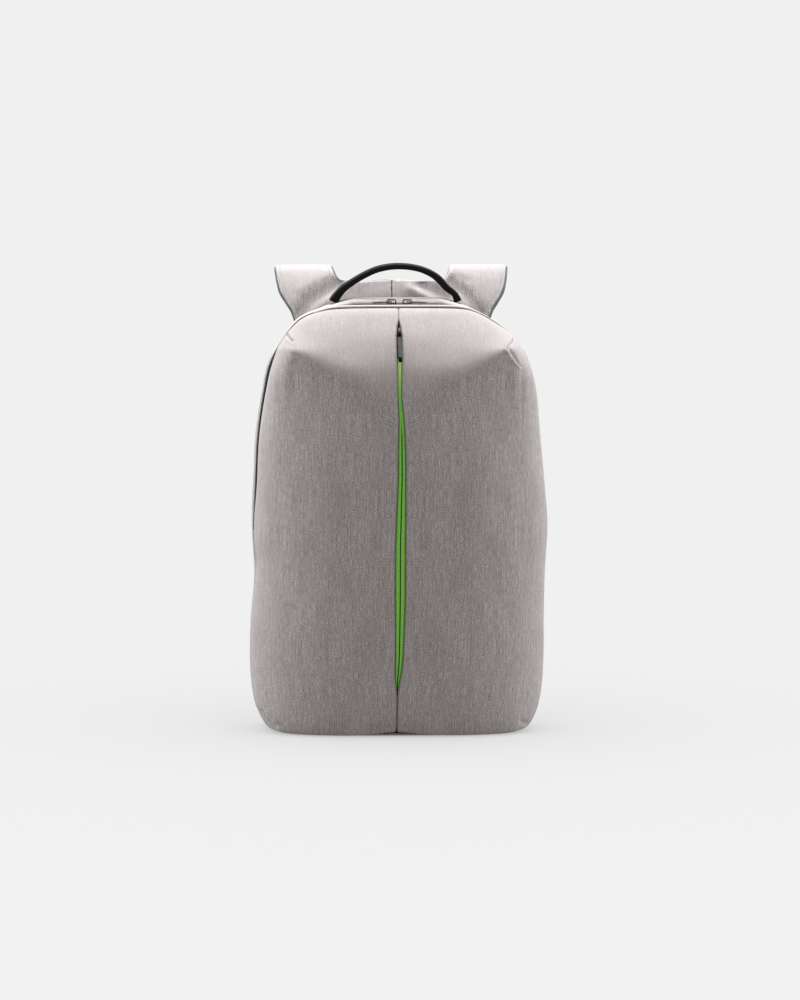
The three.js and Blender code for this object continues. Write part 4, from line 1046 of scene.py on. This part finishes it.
def carryHandle():
    row = evenlyAlong(np.array(handle["rows"], float), handle["stations"])
    path = joined(handle["shift"] + row[:, 0], handle["y"], row[:, 1])
    for foot in (0, -1):
        k = int(np.argmax(archLine[:, 0] > path[foot, 0]))
        path[foot, 2] = np.interp(path[foot, 0], *archLine[k - 1:k + 1].T) + handle["footUp"]
    along = unit(np.gradient(path, axis=0))
    outward = joined(-along[:, 2], 0.0, along[:, 0])
    loops, uv = sweepLoops(path, (0.0, 1.0, 0.0), outward, handle["wide"], row[:, 2], handle["corner"])
    tubePiece("handle_webbing", "carry_handle", "webbing", loops, uv, webFinish)
    top = path + outward * (row[:, 2:] / 2 + stitchLift)
    sewn = slice(handle["stitchEnd"], -handle["stitchEnd"])
    rows = []
    for shift in (-handle["stitchApart"], handle["stitchApart"]):
        rows.append(((top + np.array([0, shift, 0]))[sewn], outward[sewn]))
    repeatPiece("handle_stitches", "webbing", blackStitch, rows, stitch)


carryHandle()
print("handle made")


# adjusters and webbing at the feet of the straps. climb: share of the way to the adjuster, y, z; tail: y, z
adjuster = {"x": 101, "y": 105, "top": 168.3, "height": 28, "depth": 3, "bevel": 0.7, "segments": 3}
footWeb = {"wide": 20, "thick": 1.6, "x": 117, "under": 13,
           "climb": [(0, 0, 22), (0, 0, 38), (0.1, 1.5, 50), (0.55, 10, 92)],
           "tail": [(0, -16), (-2, -40), (-3, -64)], "corner": 0.7, "cornerSteps": 3,
           "turns": 7, "stations": 120, "sewn": (25, 36), "sewnIn": 3}


def strapFoot(side, name):
    cadCopy("adjuster_" + name, "strap_adjuster_" + name, "buckle_plastic", plasticFinish,
            adjuster["bevel"], adjuster["segments"])
    middle = adjuster["top"] - adjuster["height"] / 2
    turn = adjuster["depth"] / 2 + footWeb["thick"] + arch["gap"]
    seatY = backFace + back["thick"] + arch["gap"] + footWeb["thick"] / 2
    foot, lower = strap["shift"] + side * adjuster["x"], side * footWeb["x"]
    spots = [(lower + share * (foot - lower), seatY + y, z) for share, y, z in footWeb["climb"]]
    spots.append((foot, adjuster["y"] - turn, middle - footWeb["under"]))
    for angle in np.linspace(math.pi, 0, footWeb["turns"]):
        spots.append((foot, adjuster["y"] + turn * math.cos(angle), middle + turn * math.sin(angle)))
    spots += [(foot, adjuster["y"] + turn + y, middle + z) for y, z in footWeb["tail"]]
    path = evenlyAlong(np.array(spots), footWeb["stations"], 3)
    along = unit(np.gradient(path[:, 1:], axis=0))
    upward = joined(0.0, -along[:, 1], along[:, 0])
    loops, uv = sweepLoops(path, (1.0, 0.0, 0.0), upward, footWeb["wide"], footWeb["thick"],
                           footWeb["corner"], footWeb["cornerSteps"])
    tubePiece("foot_webbing_" + name, "strap_webbing_" + name, "webbing", loops, uv, webFinish)
    low, high = footWeb["sewn"]
    wide = footWeb["wide"] / 2 - footWeb["sewnIn"]
    box = [(-wide, low), (wide, low), (wide, high), (-wide, high), (-wide, low), (wide, high)]
    line = np.array([(lower + x, seatY + footWeb["thick"] / 2 + stitchLift, z) for x, z in box])
    rows = [(line, np.tile((0.0, 1.0, 0.0), (len(line), 1)))]
    repeatPiece("foot_stitches_" + name, "webbing", blackStitch, rows, stitch)


bothSides(strapFoot)
print("strap feet made")


# sliders and pulls
heads = {"bevel": 0.25, "tabBevel": 0.35, "tabNarrow": 0.86, "tabShort": 3.6, "tabFrom": (0.4, 0.95)}


def zipHeads():
    for name in ("left", "right"):
        cadCopy("main_slider_" + name, "main_zip_slider_" + name, "dark_metal", metalFinish, heads["bevel"])
        cadCopy("main_pull_" + name, "main_zip_pull_" + name, "dark_metal", pullMetal, heads["bevel"],
                body=name + "_pull")
    cadCopy("front_slider", "front_zip_slider", "dark_metal", coilFinish, heads["bevel"])
    tab = cadCopy("front_pull_tab", "front_zip_pull", "pull_tab", tabFinish, heads["tabBevel"],
                  body="front_pull")
    spots = np.array([vertex.co for vertex in tab.data.vertices])
    middle = (spots[:, 0].min() + spots[:, 0].max()) / 2
    spots[:, 0] = middle + (spots[:, 0] - middle) * heads["tabNarrow"]
    down = unit((spots[spots[:, 2].argmin()] - spots[spots[:, 2].argmax()]) * np.array([0, 1, 1]))
    reach = spots @ down
    near = smoothStep((reach - reach.min()) / np.ptp(reach), *heads["tabFrom"])
    spots -= down * (heads["tabShort"] * mm * near)[:, None]
    tab.data.vertices.foreach_set("co", spots.ravel())


zipHeads()
print("sliders and pulls made")


# floor and light, in metres. bend: first angle, steps; lamps: place, aim, size, power, how the names of
# the pieces that it lights begin
studio = {"floor": 0.5, "rough": 0.9, "gloss": 0.1, "glow": 0.4, "sky": 0.96, "tint": (0.96, 1.0, 1.02),
          "half": 9, "near": -6, "far": 2.2, "round": 1.6, "bend": (0.15, 10), "high": 6, "drop": 0.0004}
lamps = {
    "top light": ((0, 0.5, 1.75), (0, 0, 0.4), (1.4, 0.7), 86, ""),
    "left light": ((-1.6, 0.12, 0.45), (0, 0, 0.25), (0.7, 1.0), 26, ""),
    "right light": ((1.6, 0.12, 0.45), (0, 0, 0.25), (0.7, 1.0), 26, ""),
    "strap light": ((0, -1.2, 1.6), (0, 0.1, 0.45), (1.2, 0.6), 40, ("strap_pad", "top_welt")),
    "band light": ((0, -0.12, 0.78), (0, 0.03, 0.44), (0.1, 0.1), 2.2, "rear_band"),
}


def makeFloor():
    far, radius = studio["far"], studio["round"]
    first, steps = studio["bend"]
    deep = [(studio["near"], 0), (far, 0)]
    for angle in np.linspace(first, math.pi / 2, steps):
        deep.append((far + radius * math.sin(angle), radius - radius * math.cos(angle)))
    deep.append((far + radius, studio["high"]))
    points = [(x, y, z - studio["drop"]) for y, z in deep for x in (-studio["half"], studio["half"])]
    mesh = bpy.data.meshes.new("floor")
    mesh.from_pydata(points, [], [(k, k + 1, k + 3, k + 2) for k in range(0, len(points) - 2, 2)])
    mesh.shade_smooth()
    material, tree, shader = newFinish("pale floor")
    fill(tree, shader, {"Base Color": (studio["floor"],) * 3 + (1,), "Emission Color": (1, 1, 1, 1),
                        "Emission Strength": studio["glow"], "Roughness": studio["rough"],
                        "Specular IOR Level": studio["gloss"]})
    # seen from below, the floor is clear
    behind = put(tree, "ShaderNodeNewGeometry").outputs["Backfacing"]
    clear = put(tree, "ShaderNodeBsdfTransparent").outputs[0]
    surface = put(tree, "ShaderNodeMixShader", {0: behind, 1: shader.outputs[0], 2: clear}).outputs[0]
    fill(tree, tree.nodes["Material Output"], {"Surface": surface})
    mesh.materials.append(material)
    addObject("floor", mesh)


def makeLights(pieces):
    world = bpy.data.worlds.new("studio")
    world.use_nodes = True
    sky = {"Color": (1, 1, 1, 1), "Strength": studio["sky"]}
    fill(world.node_tree, world.node_tree.nodes["Background"], sky)
    bpy.context.scene.world = world
    for name, (place, aim, size, power, lit) in lamps.items():
        data = bpy.data.lights.new(name, "AREA")
        data.shape = "RECTANGLE"
        data.size, data.size_y = size
        data.energy = power
        data.color = studio["tint"]
        lamp = addObject(name, data)
        lamp.location = place
        lamp.rotation_euler = (Vector(aim) - Vector(place)).to_track_quat("-Z", "Y").to_euler()
        receivers = bpy.data.collections.new(name)
        for piece in pieces:
            if piece.name.startswith(lit):
                receivers.objects.link(piece)
        lamp.light_linking.receiver_collection = receivers
    bpy.context.scene.view_settings.view_transform = "Standard"


makeLights([piece for piece in bpy.data.objects if piece.type == "MESH"])
makeFloor()
print("studio made")
